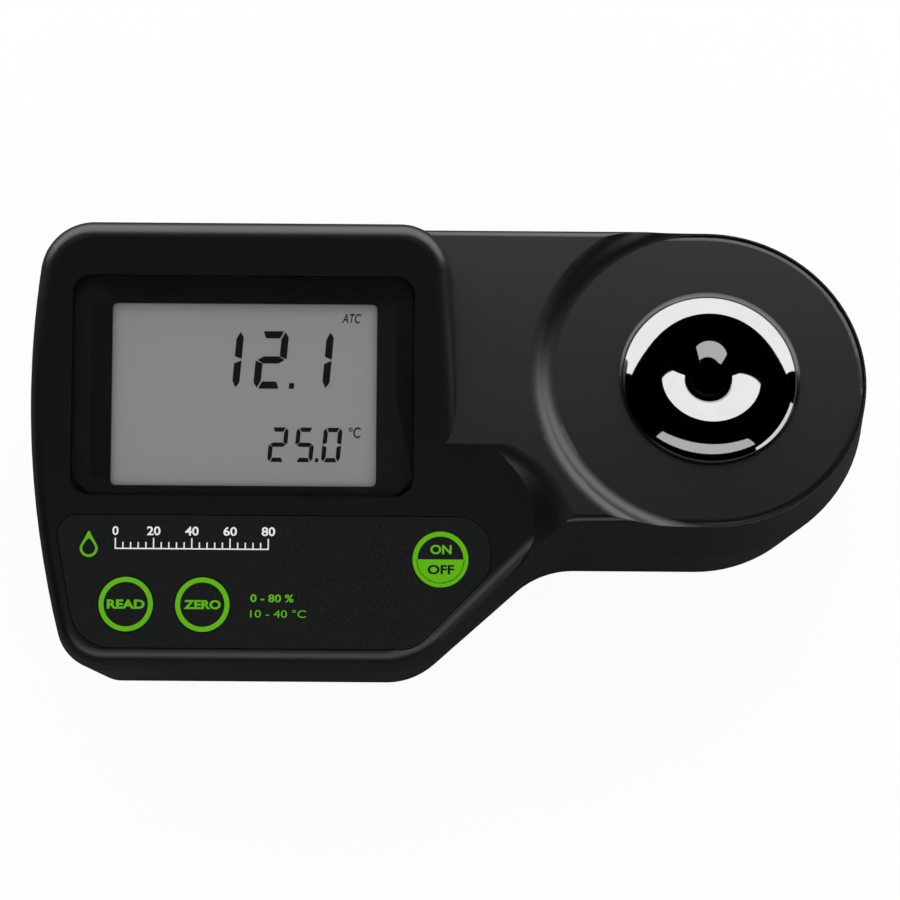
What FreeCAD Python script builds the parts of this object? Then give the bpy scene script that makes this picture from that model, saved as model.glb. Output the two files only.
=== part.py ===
"""Digital refractometer: a parametric document, in millimetres, +Z up.

The origin is the middle of the box round the instrument, on the surface that it stands on. X runs along
its length, with the sample head at +X, and the keys are at the front, at -Y. Every driving size is a
named cell of the sheet Sizes, and sizes that follow from those are formulas of the sheet Places.
"""
import FreeCAD, Part
import math
import os
import re

import Sketcher

# Driving sizes

CASE_SIZES = {
    "case_length": 192.0,
    "case_depth": 102.0,
    "head_radius": 37.2,
    "bow_radius": 197.0,
    "bow_centre_y": 14.0,
    "diagonal_angle": 42.5,
    "diagonal_start_x": -6.3,
    "back_corner_radius": 12.0,
    "front_corner_radius": 11.5,
    "diagonal_corner_radius": 21.0,
    "neck_corner_radius": 16.0,
    "head_height": 51.5,
    "upper_height": 17.0,
    "neck_rise": 2.4,
    "face_line_y": -4.0,
    "face_rise": 2.2,
    "face_tilt": 16.0,
    "upper_draft": 6.0,
    "lower_draft": 9.0,
    "case_wall": 3.0,
    "face_wall": 3.4,
    "foot_height": 2.0,
    "base_edge_radius": 6.0,
    "face_edge_radius": 4.0,
    "neck_edge_radius": 2.0,
    "block_wall_x": 4.0,
    "block_wall_skew": 2.1,
    "block_corner_radius": 11.0,
    "block_back_draft": 10.7,
    "scoop_centre_x": 2.0,
    "scoop_centre_y": -28.0,
    "scoop_radius": 25.0,
    "scoop_depth": 12.0,
    "scoop_slope": 38.7,
    "scoop_edge_radius": 6.0,
    "scoop_front_reach": 8.0,
    "step_radius": 38.0,
    "step_half_width": 3.0,
    "seal_inset": 0.9,
    "seal_width": 1.2,
    "seal_height": 1.0,
}

SCREW_SIZES = {
    "boss_radius": 4.0,
    "screw_seat_drop": 12.0,
    "screw_length": 16.0,
    "screw_radius": 1.5,
    "screw_head_radius": 2.9,
    "screw_head_height": 2.4,
    "screw_hole_gap": 0.3,
    "thread_gap": 0.03,
    "driver_hole_radius": 3.3,
    "back_left_screw_x": -79.5,
    "back_screw_y": 37.0,
    "front_left_screw_x": -63.0,
    "front_right_screw_x": -12.0,
    "front_screw_y": -39.0,
    "neck_screw_x": 16.0,
    "head_screw_reach": 28.0,
    "head_screw_angle": 46.0,
    "foot_radius": 5.0,
    "foot_seat_depth": 1.0,
    "foot_gap": 0.1,
    "back_left_foot_x": -79.0,
    "back_left_foot_y": 26.0,
    "front_left_foot_x": -73.0,
    "front_right_foot_x": -25.0,
    "front_foot_y": -33.5,
    "head_foot_x": 65.0,
    "head_foot_y": 25.0,
}

FACE_SIZES = {
    "window_centre_x": -46.1,
    "window_centre_v": 13.4,
    "window_length": 76.2,
    "window_width": 49.0,
    "window_corner_radius": 4.0,
    "window_gap": 0.15,
    "window_sink": 0.9,
    "window_thickness": 1.5,
    "gasket_thickness": 0.3,
    "view_centre_x": -46.0,
    "view_centre_v": 11.5,
    "view_length": 59.4,
    "view_width": 40.9,
    "view_corner_radius": 1.2,
    "lcd_margin": 2.5,
    "lcd_drop": 0.2,
    "lcd_thickness": 2.0,
    "lcd_frame_wall": 1.3,
    "lcd_gap": 0.2,
    "strip_length": 58.0,
    "strip_width": 1.8,
    "strip_margin": 0.6,
    "overlay_left_back_x": -87.8,
    "overlay_left_front_x": -82.3,
    "overlay_cut_x": -7.1,
    "overlay_right_x": 9.4,
    "overlay_back_v": -15.7,
    "overlay_cut_v": -27.8,
    "overlay_front_v": -45.1,
    "overlay_radius_left_back": 4.5,
    "overlay_radius_left_front": 9.0,
    "overlay_radius_cut_front": 8.0,
    "overlay_radius_cut_right": 5.0,
    "overlay_radius_right_back": 7.5,
    "overlay_gap": 0.2,
    "overlay_sink": 0.05,
    "overlay_thickness": 0.45,
    "read_key_x": -71.5,
    "zero_key_x": -54.5,
    "front_keys_v": -35.5,
    "power_key_x": -1.7,
    "power_key_v": -25.1,
    "key_radius": 6.2,
    "key_gap": 0.12,
    "key_thickness": 0.8,
    "key_travel": 0.4,
    "key_floor_gap": 0.15,
    "stem_radius": 2.0,
    "stem_length": 2.8,
    "stem_gap": 0.15,
}

BOARD_SIZES = {
    "board_depth": 7.0,
    "board_thickness": 1.2,
    "board_gap": 0.6,
    "board_front_v": -39.8,
    "board_back_v": 40.0,
    "board_left_x": -92.0,
    "tab_right_x": 3.5,
    "tab_front_v": -33.0,
    "tab_back_v": -17.0,
    "post_radius": 2.6,
    "post_left_x": -84.5,
    "post_right_x": -8.5,
    "post_back_v": 28.0,
    "post_front_v": -10.5,
    "board_screw_radius": 0.95,
    "board_screw_gap": 0.15,
    "board_screw_head_radius": 1.9,
    "board_screw_head_height": 1.3,
    "board_screw_length": 4.0,
    "switch_size": 6.0,
    "switch_height": 2.4,
    "plunger_radius": 1.75,
    "plunger_gap": 0.1,
    "plunger_length": 1.9,
    "processor_size": 10.0,
    "processor_height": 1.6,
    "processor_x": -46.0,
    "processor_v": -2.0,
    "chip_length": 5.0,
    "chip_width": 4.0,
    "chip_height": 1.4,
    "chip_pitch": 9.0,
    "chip_row_x": -62.0,
    "chip_row_v": 12.0,
    "plug_x": -24.0,
    "plug_v": 10.0,
    "plug_length": 8.0,
    "plug_width": 6.0,
    "plug_height": 5.0,
    "socket_x": -8.0,
    "socket_v": 12.0,
    "socket_length": 5.0,
    "socket_width": 10.0,
    "socket_height": 4.0,
    "cable_width": 8.0,
    "cable_thickness": 0.6,
    "cable_shelf_rise": 2.5,
    "cable_turn_x": 24.0,
}

WELL_SIZES = {
    "ring_radius": 20.4,
    "ring_edge_height": 0.8,
    "ring_crest_radius": 12.8,
    "ring_crest_rise": 4.64,
    "ring_dome_radius": 9.5,
    "ring_shoulder_radius": 11.28,
    "ring_shoulder_rise": 4.39,
    "ring_brow_radius": 4.8,
    "ring_lip_rise": 0.95,
    "ring_lip_radius": 5.0,
    "ring_funnel_radius": 20.0,
    "well_radius": 4.1,
    "ring_neck_radius": 16.0,
    "ring_neck_gap": 0.2,
    "ring_seal_inner_radius": 17.3,
    "ring_seal_outer_radius": 19.0,
    "ring_seal_height": 1.0,
    "prism_length": 16.0,
    "prism_width": 12.0,
    "prism_height": 9.0,
    "prism_slope": 60.0,
    "prism_sink": 1.9,
    "prism_pocket_radius": 10.6,
    "prism_seal_height": 0.6,
    "prism_seal_inner_radius": 4.5,
    "prism_seal_outer_radius": 5.8,
    "flange_radius": 19.0,
    "flange_thickness": 4.0,
    "core_length": 24.0,
    "core_width": 15.0,
    "core_height": 11.0,
    "arm_size": 14.0,
    "arm_reach": 22.0,
    "beam_radius": 4.0,
    "well_screw_circle": 13.2,
    "well_screw_angle": 55.0,
    "well_screw_radius": 1.25,
    "well_screw_head_radius": 2.2,
    "well_screw_head_height": 2.0,
    "well_screw_length": 6.6,
    "lens_thickness": 2.5,
    "collimator_start": 6.0,
    "aperture_start": 11.5,
    "aperture_thickness": 0.6,
    "aperture_hole_radius": 1.2,
    "led_radius": 2.5,
    "led_flange_radius": 3.0,
    "led_flange_height": 1.0,
    "led_length": 6.0,
    "imager_start": 8.0,
    "optics_board_thickness": 1.2,
    "optics_board_height": 14.0,
    "optics_board_width": 20.0,
    "sensor_length": 6.0,
    "sensor_width": 3.0,
    "sensor_thickness": 1.4,
    "optics_screw_radius": 0.8,
    "optics_screw_head_radius": 1.5,
    "optics_screw_head_height": 1.0,
    "optics_screw_length": 4.0,
    "optics_screw_reach": 5.4,
    "thermistor_radius": 1.2,
    "thermistor_length": 5.5,
    "thermistor_reach": 13.0,
    "lead_radius": 0.7,
    "led_lead_radius": 0.5,
    "led_lead_spacing": 2.4,
    "led_lead_drop": 11.0,
}

BATTERY_SIZES = {
    "cover_centre_x": -46.0,
    "cover_centre_y": 5.0,
    "cover_radius": 30.9,
    "cover_gap": 0.3,
    "cover_sink": 0.3,
    "cover_thickness": 3.0,
    "cover_neck_radius": 28.2,
    "cover_neck_height": 5.5,
    "cover_neck_wall": 2.2,
    "cover_edge_chamfer": 0.5,
    "coin_slot_length": 22.0,
    "coin_slot_width": 2.4,
    "coin_slot_depth": 1.5,
    "cover_seal_inner_radius": 28.7,
    "cover_seal_outer_radius": 30.4,
    "cover_seal_height": 1.0,
    "collar_inner_radius": 28.5,
    "collar_outer_radius": 34.0,
    "lug_radius": 29.9,
    "lug_height": 1.8,
    "lug_angle": 12.0,
    "lug_gap": 0.35,
    "lug_slack": 0.7,
    "cover_turn": 60.0,
    "cover_drop": 2.0,
    "battery_length": 48.5,
    "battery_width": 26.5,
    "battery_height": 17.5,
    "battery_offset": -2.8,
    "battery_lift": 1.5,
    "terminal_radius": 3.0,
    "terminal_length": 3.0,
    "terminal_spacing": 12.7,
    "snap_thickness": 3.6,
    "snap_width": 25.0,
    "snap_height": 12.5,
    "pad_thickness": 1.0,
    "pad_margin": 3.0,
    "bay_gap": 0.6,
    "bay_wall": 2.0,
    "lead_hole_gap": 0.5,
    "lead_rise": 8.0,
}

# Sizes that follow from the driving ones

DERIVED = {
    "head_x": "case_length / 2 - head_radius",
    "head_y": "case_depth / 2 - head_radius",
    "bow_centre_x": "bow_radius - case_length / 2",
    "parting_height": "head_height - upper_height",
    "neck_height": "head_height + neck_rise",
    "face_line_z": "head_height + face_rise",
    "tilt_cos": "cos(face_tilt * 1 deg)",
    "tilt_sin": "sin(face_tilt * 1 deg)",
    "envelope": "case_length",
    "head_ceiling": "head_height - case_wall",
    "floor_height": "foot_height + case_wall",
    "screw_seat_height": "head_height - upper_height - screw_seat_drop",
    "screw_tip_height": "head_height - upper_height - screw_seat_drop + screw_length",
    "cable_shelf_height": "head_height - upper_height + cable_shelf_rise",
    "led_lead_height": "head_height - upper_height - led_lead_drop",
    "window_floor": "window_sink + window_thickness + gasket_thickness",
    "lcd_top": "face_wall + lcd_drop",
    "lcd_bottom": "face_wall + lcd_drop + lcd_thickness",
    "lcd_length": "view_length + 2 * lcd_margin",
    "lcd_width": "view_width + 2 * lcd_margin",
    "overlay_floor": "overlay_sink + overlay_thickness",
    "key_bottom": "overlay_sink + key_thickness",
    "stem_tip": "overlay_sink + key_thickness + stem_length",
    "board_bottom": "board_depth + board_thickness",
    "switch_top": "board_depth - switch_height",
    "prism_top": "head_height - prism_sink",
    "prism_foot": "head_height - prism_sink - prism_height",
    "prism_face_x": "prism_length / 2 - prism_height / 2 / tan(prism_slope * 1 deg)",
    "prism_face_z": "head_height - prism_sink - prism_height / 2",
    "beam_turn": "180 - prism_slope",
    "beam_out": "sin(prism_slope * 1 deg)",
    "beam_down": "cos(prism_slope * 1 deg)",
    "ramp_lean": "atan(cover_drop / 2 / (cover_neck_radius * sin(cover_turn * 0.5 deg))) / 1 deg",
    "ramp_thickness": "lug_height + 2 * lug_gap + cover_drop * lug_angle / cover_turn",
    "cover_foot": "foot_height + cover_sink",
    "cover_flange_top": "foot_height + cover_sink + cover_thickness",
    "cover_neck_top": "foot_height + cover_sink + cover_thickness + cover_neck_height",
    "shoulder_height": "foot_height + cover_sink + cover_thickness + cover_seal_height",
    "battery_bottom": "foot_height + cover_sink + cover_thickness + cover_neck_height + battery_lift",
    "battery_left": "cover_centre_x + battery_offset - battery_length / 2",
}
DERIVED["battery_right"] = DERIVED["battery_left"] + " + battery_length"
DERIVED["battery_top"] = DERIVED["battery_bottom"] + " + battery_height"
DERIVED["bay_ceiling"] = DERIVED["battery_top"] + " + pad_thickness"
DERIVED["snap_left"] = DERIVED["battery_right"] + " + terminal_length"
DERIVED["snap_right"] = DERIVED["snap_left"] + " + snap_thickness"

document = FreeCAD.newDocument("Refractometer")
sizes = document.addObject("Spreadsheet::Sheet", "Sizes")
places = document.addObject("Spreadsheet::Sheet", "Places")
working = document.addObject("Spreadsheet::Sheet", "Working")
owner_of = {}
nodes = {}


def fill_sheets():
    """Write the driving sizes as plain numbers and the derived ones as formulas."""
    driving = {}
    for group in (CASE_SIZES, SCREW_SIZES, FACE_SIZES, BOARD_SIZES, WELL_SIZES, BATTERY_SIZES):
        driving.update(group)
    for row, (alias, value) in enumerate(driving.items(), start=1):
        sizes.set(f"A{row}", alias)
        sizes.set(f"B{row}", str(value))
        sizes.setAlias(f"B{row}", alias)
    document.recompute()
    for alias in driving:
        owner_of[alias] = "Sizes"
    for row, (alias, formula) in enumerate(DERIVED.items(), start=1):
        places.set(f"A{row}", alias)
        places.set(f"B{row}", "=" + spelled(formula))
        places.setAlias(f"B{row}", alias)
    document.recompute()
    for alias in DERIVED:
        owner_of[alias] = "Places"


def spelled(formula):
    """Write a formula's bare names with the sheet that each one belongs to."""
    return re.sub(r"[a-z][a-z_]*", lambda word: full_name(word.group(0)), str(formula))


def full_name(word):
    """Give one word of a formula its sheet, if it is a size."""
    return f"{owner_of[word]}.{word}" if word in owner_of else word


def value_of(alias):
    """Read one size as a number."""
    sheet = sizes if owner_of[alias] == "Sizes" else places
    return float(sheet.get(alias))


def bind(piece, **formulas):
    """Bind properties of a piece to formulas of the sheets."""
    for name, formula in formulas.items():
        piece.setExpression(name, spelled(formula))
    return piece


def put(piece, x="0", y="0", z="0", axis="0; 0; 1", angle="0"):
    """Bind where a piece stands and how it is turned."""
    spot = f"vector({spelled(x)}; {spelled(y)}; {spelled(z)})"
    turn = f"rotation(vector({axis}); {spelled(angle)})"
    piece.setExpression("Placement", f"placement({spot}; {turn})")
    return piece


def put_on_face(piece, x, v, depth):
    """Bind a piece to the sloped face: x along it, v up its slope, depth below it."""
    y = f"face_line_y + ({v}) * tilt_cos + ({depth}) * tilt_sin"
    z = f"face_line_z + ({v}) * tilt_sin - ({depth}) * tilt_cos"
    return put(piece, x, y, z, "1; 0; 0", "face_tilt")


def make(kind, name, **formulas):
    """Add an object of the document and bind its sizes."""
    return bind(document.addObject(kind, name), **formulas)


def box(name, length, width, height, x, y, z):
    """Make a box centred on x and y that stands on z."""
    piece = make("Part::Box", name, Length=length, Width=width, Height=height)
    return put(piece, f"({x}) - ({length}) / 2", f"({y}) - ({width}) / 2", z)


def cylinder(name, radius, height, x, y, z):
    """Make an upright cylinder that stands on z."""
    return put(make("Part::Cylinder", name, Radius=radius, Height=height), x, y, z)


def face_box(name, length, width, height, x, v, top):
    """Make a box centred on x and v whose top lies at a depth below the sloped face."""
    piece = make("Part::Box", name, Length=length, Width=width, Height=height)
    return put_on_face(piece, f"({x}) - ({length}) / 2", f"({v}) - ({width}) / 2", f"({top}) + ({height})")


def face_cylinder(name, radius, height, x, v, top):
    """Make a cylinder square to the sloped face, with its top at a depth below it."""
    piece = make("Part::Cylinder", name, Radius=radius, Height=height)
    return put_on_face(piece, x, v, f"({top}) + ({height})")


def beam_cylinder(name, side, radius, start, length):
    """Make a cylinder along a light path, side 1 to the right of the prism and -1 to its left."""
    piece = make("Part::Cylinder", name, Radius=radius, Height=length)
    x = f"head_x + {side} * (prism_face_x + ({start}) * beam_out)"
    z = f"prism_face_z - ({start}) * beam_down"
    return put(piece, x, "head_y", z, "0; 1; 0", f"{side} * beam_turn")


def beam_box(name, side, height, width, start, thickness):
    """Make a box square to a light path and centred on it."""
    piece = make("Part::Box", name, Length=height, Width=width, Height=thickness)
    rise = f"{side} * ({height}) / 2"
    x = f"head_x + {side} * (prism_face_x + ({start}) * beam_out + {rise} * beam_down)"
    z = f"prism_face_z - ({start}) * beam_down + {rise} * beam_out"
    return put(piece, x, f"head_y - ({width}) / 2", z, "0; 1; 0", f"{side} * beam_turn")


def tube(name, inner, outer, height, x, y, z):
    """Make an upright ring."""
    body = cylinder(name + "_body", outer, height, x, y, z)
    bore = cylinder(name + "_bore", inner, height, x, y, z)
    return cut(name, body, bore)


def group(kind, name, pieces):
    """Join pieces with one boolean or as a compound of separate solids."""
    joined = document.addObject(kind, name)
    if kind == "Part::Compound":
        joined.Links = pieces
    else:
        joined.Shapes = pieces
    return joined


def fuse(name, *pieces):
    """Join pieces into one solid."""
    return group("Part::MultiFuse", name, list(pieces))


def common(name, *pieces):
    """Keep what all the pieces share."""
    return group("Part::MultiCommon", name, list(pieces))


def separate(name, pieces):
    """Hold separate solids in one object."""
    return group("Part::Compound", name, list(pieces))


def cut(name, base, *tools):
    """Take tools away from a base."""
    result = document.addObject("Part::Cut", name)
    result.Base = base
    result.Tool = tools[0] if len(tools) == 1 else fuse(name + "_tools", *tools)
    return result


def cut_in_turn(name, base, tools):
    """Take tools away from a base one after the other."""
    for index, tool in enumerate(tools[:-1]):
        base = cut(f"{name}_{index}", base, tool)
    return cut(name, base, tools[-1])


def extrude(name, profile, length, draft="0", down=False):
    """Extrude a flat profile along its normal, drawn in by a draft angle."""
    solid = document.addObject("Part::Extrusion", name)
    solid.Base = profile
    solid.DirMode = "Normal"
    solid.Solid = True
    solid.Reversed = down
    return bind(solid, LengthFwd=length, TaperAngle=f"-1 * ({draft})")


def inset(name, profile, distance):
    """Offset a closed profile inwards."""
    offset = document.addObject("Part::Offset2D", name)
    offset.Source = profile
    return bind(offset, Value=f"-1 * ({distance})")


def node(name, piece):
    """Name a finished sub-part."""
    piece.Label = name
    nodes[name] = piece
    return piece


# Sketches


def named_constraint(sketch, name, constraint, formula):
    """Add a constraint and bind it to a formula."""
    index = sketch.addConstraint(constraint)
    sketch.renameConstraint(index, name)
    sketch.setExpression("Constraints." + name, spelled(formula))


def fix_point(sketch, name, geometry, point, x, y, spot):
    """Bind a point of a sketch to two formulas, counted from the sketch's origin."""
    across = Sketcher.Constraint("DistanceX", -1, 1, geometry, point, spot.x)
    upward = Sketcher.Constraint("DistanceY", -1, 1, geometry, point, spot.y)
    named_constraint(sketch, name + "_x", across, x)
    named_constraint(sketch, name + "_y", upward, y)


def number(formula):
    """Work out a formula with the sheets' values."""
    working.set("A1", "=" + spelled(formula))
    working.recompute()
    return float(working.get("A1"))


def arc_between(centre, radius, start, end):
    """Make the arc from start to end, counterclockwise round its centre."""
    first = math.atan2(start.y - centre.y, start.x - centre.x)
    last = math.atan2(end.y - centre.y, end.x - centre.x)
    if last < first:
        last += 2 * math.pi
    return Part.ArcOfCircle(Part.Circle(centre, FreeCAD.Vector(0, 0, 1), radius), first, last)


def point(x, y):
    """Give the numeric spot of two formulas."""
    return FreeCAD.Vector(number(x), number(y), 0)


def toward(start, end):
    """Give the unit direction from one spot to another."""
    direction = end - start
    return direction.normalize()


def rounded_polygon(name, corners):
    """Draw a convex polygon, counterclockwise, whose corners (x, y, radius) are rounded."""
    sketch = document.addObject("Sketcher::SketchObject", name)
    count = len(corners)
    spots = [point(x, y) for x, y, _ in corners]
    starts, ends, centres = [], [], []
    for index, (_, _, radius) in enumerate(corners):
        before = toward(spots[index], spots[index - 1])
        after = toward(spots[index], spots[(index + 1) % count])
        half = before.getAngle(after) / 2
        reach = number(radius) / math.tan(half)
        starts.append(spots[index] + before * reach)
        ends.append(spots[index] + after * reach)
        middle = (before + after).normalize()
        centres.append(spots[index] + middle * (number(radius) / math.sin(half)))
    for index in range(count):
        following = (index + 1) % count
        sketch.addGeometry(Part.LineSegment(ends[index], starts[following]))
    for index, (_, _, radius) in enumerate(corners):
        sketch.addGeometry(arc_between(centres[index], number(radius), starts[index], ends[index]))
    for index, (x, y, radius) in enumerate(corners):
        arc = count + index
        sketch.addConstraint(Sketcher.Constraint("Tangent", (index - 1) % count, 2, arc, 1))
        sketch.addConstraint(Sketcher.Constraint("Tangent", arc, 2, index, 1))
        held = Sketcher.Constraint("Radius", arc, number(radius))
        named_constraint(sketch, f"corner_{index}_radius", held, radius)
        sharp = sketch.addGeometry(Part.Point(spots[index]), True)
        sketch.addConstraint(Sketcher.Constraint("PointOnObject", sharp, 1, (index - 1) % count))
        sketch.addConstraint(Sketcher.Constraint("PointOnObject", sharp, 1, index))
        fix_point(sketch, f"corner_{index}", sharp, 1, x, y, spots[index])
    return sketch


def rounded_rectangle(name, length, width, radius, x, y):
    """Draw a rectangle with rounded corners round a centre."""
    corners = []
    for across, upward in ((-1, -1), (1, -1), (1, 1), (-1, 1)):
        corner_x = f"({x}) + {across} * ({length}) / 2"
        corner_y = f"({y}) + {upward} * ({width}) / 2"
        corners.append((corner_x, corner_y, radius))
    return rounded_polygon(name, corners)


def turned(name, points, arcs=None):
    """Turn a closed profile of (radius, height) points round the upright axis.

    arcs gives, for the edge that leaves a point, its radius and the side that its centre is on.
    """
    arcs = arcs or {}
    body = document.addObject("PartDesign::Body", name)
    sketch = body.newObject("Sketcher::SketchObject", name + "_profile")
    upright = [plane for plane in body.Origin.OriginFeatures if plane.Role == "XZ_Plane"]
    sketch.AttachmentSupport = (upright[0], [""])
    sketch.MapMode = "FlatFace"
    spots = [point(radius, height) for radius, height in points]
    joints = []
    for index, spot in enumerate(spots):
        following = spots[(index + 1) % len(spots)]
        if index in arcs:
            radius, side = arcs[index]
            joints.append(add_arc(sketch, spot, following, radius, side))
        else:
            joints.append((sketch.addGeometry(Part.LineSegment(spot, following)), 1, 2))
    for index, (radius, height) in enumerate(points):
        geometry, start, _ = joints[index]
        before, _, end = joints[index - 1]
        sketch.addConstraint(Sketcher.Constraint("Coincident", before, end, geometry, start))
        fix_point(sketch, f"spot_{index}", geometry, start, radius, height, spots[index])
    for index, (radius, _) in arcs.items():
        held = Sketcher.Constraint("Radius", joints[index][0], number(radius))
        named_constraint(sketch, f"arc_{index}", held, radius)
    revolution = body.newObject("PartDesign::Revolution", name + "_turn")
    revolution.Profile = sketch
    revolution.ReferenceAxis = (sketch, ["V_Axis"])
    revolution.Angle = 360
    return body


def add_arc(sketch, start, end, radius, side):
    """Add an arc to a sketch and give its index with its start and end points."""
    chord = end - start
    middle = start + chord * 0.5
    square = FreeCAD.Vector(-chord.y, chord.x, 0).normalize()
    rise = math.sqrt(max(number(radius) ** 2 - (chord.Length / 2) ** 2, 0))
    centre = middle + square * (rise * side)
    if side > 0:
        return sketch.addGeometry(arc_between(centre, number(radius), start, end)), 1, 2
    return sketch.addGeometry(arc_between(centre, number(radius), end, start)), 2, 1


# Casing outlines


def bow_corner(line_y, inward, radius):
    """Find the corner between a straight edge and the bowed left side.

    Gives the corner's centre, its end on the straight edge and its end on the bow.
    """
    bow = point("bow_centre_x", "bow_centre_y")
    bow_radius = value_of("bow_radius")
    centre_y = line_y + inward * radius
    reach = math.sqrt((bow_radius - radius) ** 2 - (centre_y - bow.y) ** 2)
    centre = FreeCAD.Vector(bow.x - reach, centre_y, 0)
    on_line = FreeCAD.Vector(centre.x, line_y, 0)
    return centre, on_line, bow + toward(bow, centre) * bow_radius


def draw_case_outline(name, sharp_back=False):
    """Draw the casing's outline in plan, where the two shells meet.

    With a sharp back, its straight back edge runs on to the bowed left side.
    """
    sketch = document.addObject("Sketcher::SketchObject", name)
    head = point("head_x", "head_y")
    head_radius = value_of("head_radius")
    front, back = -value_of("case_depth") / 2, value_of("case_depth") / 2
    neck_y = head.y - head_radius
    slope = math.radians(value_of("diagonal_angle"))
    along = FreeCAD.Vector(math.cos(slope), math.sin(slope), 0)
    right = FreeCAD.Vector(1, 0, 0)
    left_front, line_left, bow_front = bow_corner(front, 1, value_of("front_corner_radius"))
    left_back, line_back, bow_back = bow_corner(back, -1, value_of("back_corner_radius"))
    first = FreeCAD.Vector(value_of("diagonal_start_x"), front, 0)
    second = first + along * ((neck_y - front) / math.sin(slope))
    outer_radius, inner_radius = value_of("diagonal_corner_radius"), value_of("neck_corner_radius")
    outer_reach, inner_reach = outer_radius * math.tan(slope / 2), inner_radius * math.tan(slope / 2)
    outer_start, outer_end = first - right * outer_reach, first + along * outer_reach
    inner_start, inner_end = second - along * inner_reach, second + right * inner_reach
    outer_centre = outer_start + FreeCAD.Vector(0, outer_radius, 0)
    inner_centre = inner_end - FreeCAD.Vector(0, inner_radius, 0)
    head_front, head_back = FreeCAD.Vector(head.x, neck_y, 0), FreeCAD.Vector(head.x, back, 0)
    bow = point("bow_centre_x", "bow_centre_y")
    if sharp_back:
        reach = math.sqrt(value_of("bow_radius") ** 2 - (back - bow.y) ** 2)
        line_back = bow_back = FreeCAD.Vector(bow.x - reach, back, 0)
    edges = {
        "front": Part.LineSegment(line_left, outer_start),
        "outer": arc_between(outer_centre, outer_radius, outer_start, outer_end),
        "diagonal": Part.LineSegment(outer_end, inner_start),
        "inner": arc_between(inner_centre, inner_radius, inner_end, inner_start),
        "neck": Part.LineSegment(inner_end, head_front),
        "head": arc_between(head, head_radius, head_front, head_back),
        "back": Part.LineSegment(head_back, line_back),
    }
    if not sharp_back:
        edges["left_back"] = arc_between(left_back, value_of("back_corner_radius"), line_back, bow_back)
    edges["bow"] = arc_between(bow, value_of("bow_radius"), bow_back, bow_front)
    edges["left_front"] = arc_between(left_front, value_of("front_corner_radius"), bow_front, line_left)
    index = {edge: sketch.addGeometry(shape) for edge, shape in edges.items()}
    order = list(index)
    for edge, following in zip(order, order[1:] + order[:1]):
        leaves = 1 if edge == "inner" else 2
        enters = 2 if following == "inner" else 1
        kind = "Coincident" if (edge, following) == ("back", "bow") else "Tangent"
        sketch.addConstraint(Sketcher.Constraint(kind, index[edge], leaves, index[following], enters))
    radii = {
        "outer": "diagonal_corner_radius",
        "inner": "neck_corner_radius",
        "head": "head_radius",
        "left_back": "back_corner_radius",
        "bow": "bow_radius",
        "left_front": "front_corner_radius",
    }
    for edge, alias in radii.items():
        if edge not in index:
            continue
        held = Sketcher.Constraint("Radius", index[edge], value_of(alias))
        named_constraint(sketch, alias, held, alias)
    for edge in ("front", "neck", "back"):
        sketch.addConstraint(Sketcher.Constraint("Horizontal", index[edge]))
    fix_point(sketch, "head", index["head"], 3, "head_x", "head_y", head)
    fix_point(sketch, "bow", index["bow"], 3, "bow_centre_x", "bow_centre_y", bow)
    tilt = Sketcher.Constraint("Angle", index["diagonal"], slope)
    named_constraint(sketch, "diagonal_angle", tilt, "diagonal_angle * 1 deg")
    centre_x = "diagonal_start_x - diagonal_corner_radius * tan(diagonal_angle * 0.5 deg)"
    centre_y = "diagonal_corner_radius - case_depth / 2"
    fix_point(sketch, "outer", index["outer"], 3, centre_x, centre_y, outer_centre)
    return put(sketch, z="parting_height")


# Casing


def rim_of(piece, spot, normal):
    """List the edges of a piece that lie in a plane."""
    rim = []
    for index, edge in enumerate(piece.Shape.Edges, start=1):
        first, last = edge.ParameterRange
        heights = [(edge.valueAt(first + (last - first) * share / 4) - spot).dot(normal) for share in range(5)]
        if max(abs(height) for height in heights) < FLATNESS:
            rim.append(index)
    return rim


def rounded(name, piece, edges, alias):
    """Round edges of a piece."""
    fillet = document.addObject("Part::Fillet", name)
    fillet.Base = piece
    fillet.Edges = [(edge, value_of(alias), value_of(alias)) for edge in edges]
    document.recompute()
    return fillet


def slab(name, top):
    """Make a block that fills everything below a height."""
    return box(name, "2 * envelope", "2 * envelope", top, "0", "0", "0")


def below_face(name, depth):
    """Make a block that fills everything below the sloped face, or a depth under it."""
    return face_box(name, "2 * envelope", "2 * envelope", "envelope", "0", "0", depth)


def left_of_block_wall(name, distance):
    """Make a block that fills everything left of the display block's side wall."""
    piece = make("Part::Box", name, Length="envelope", Width="2 * envelope", Height="envelope")
    wall = spelled(f"vector(block_wall_x - ({distance}); 0; parting_height)")
    lean = spelled("rotation(block_wall_skew; -1 * upper_draft; 0)")
    corner = spelled("vector(-1 * envelope; -1 * envelope; -1 * neck_rise)")
    placement = f"placement({wall}; {lean}) * placement({corner}; rotation(0; 0; 0))"
    piece.setExpression("Placement", placement)
    return piece


def before_block_back(name, distance):
    """Make a block that fills everything before the display block's leaning back."""
    piece = make("Part::Box", name, Length="2 * envelope", Width="envelope", Height="2 * envelope")
    foot = spelled(f"vector(0; case_depth / 2 - ({distance}); parting_height)")
    lean = spelled("rotation(0; 0; block_back_draft)")
    corner = spelled("vector(-1 * envelope; -1 * envelope; -1 * envelope)")
    piece.setExpression("Placement", f"placement({foot}; {lean}) * placement({corner}; rotation(0; 0; 0))")
    return piece


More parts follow.
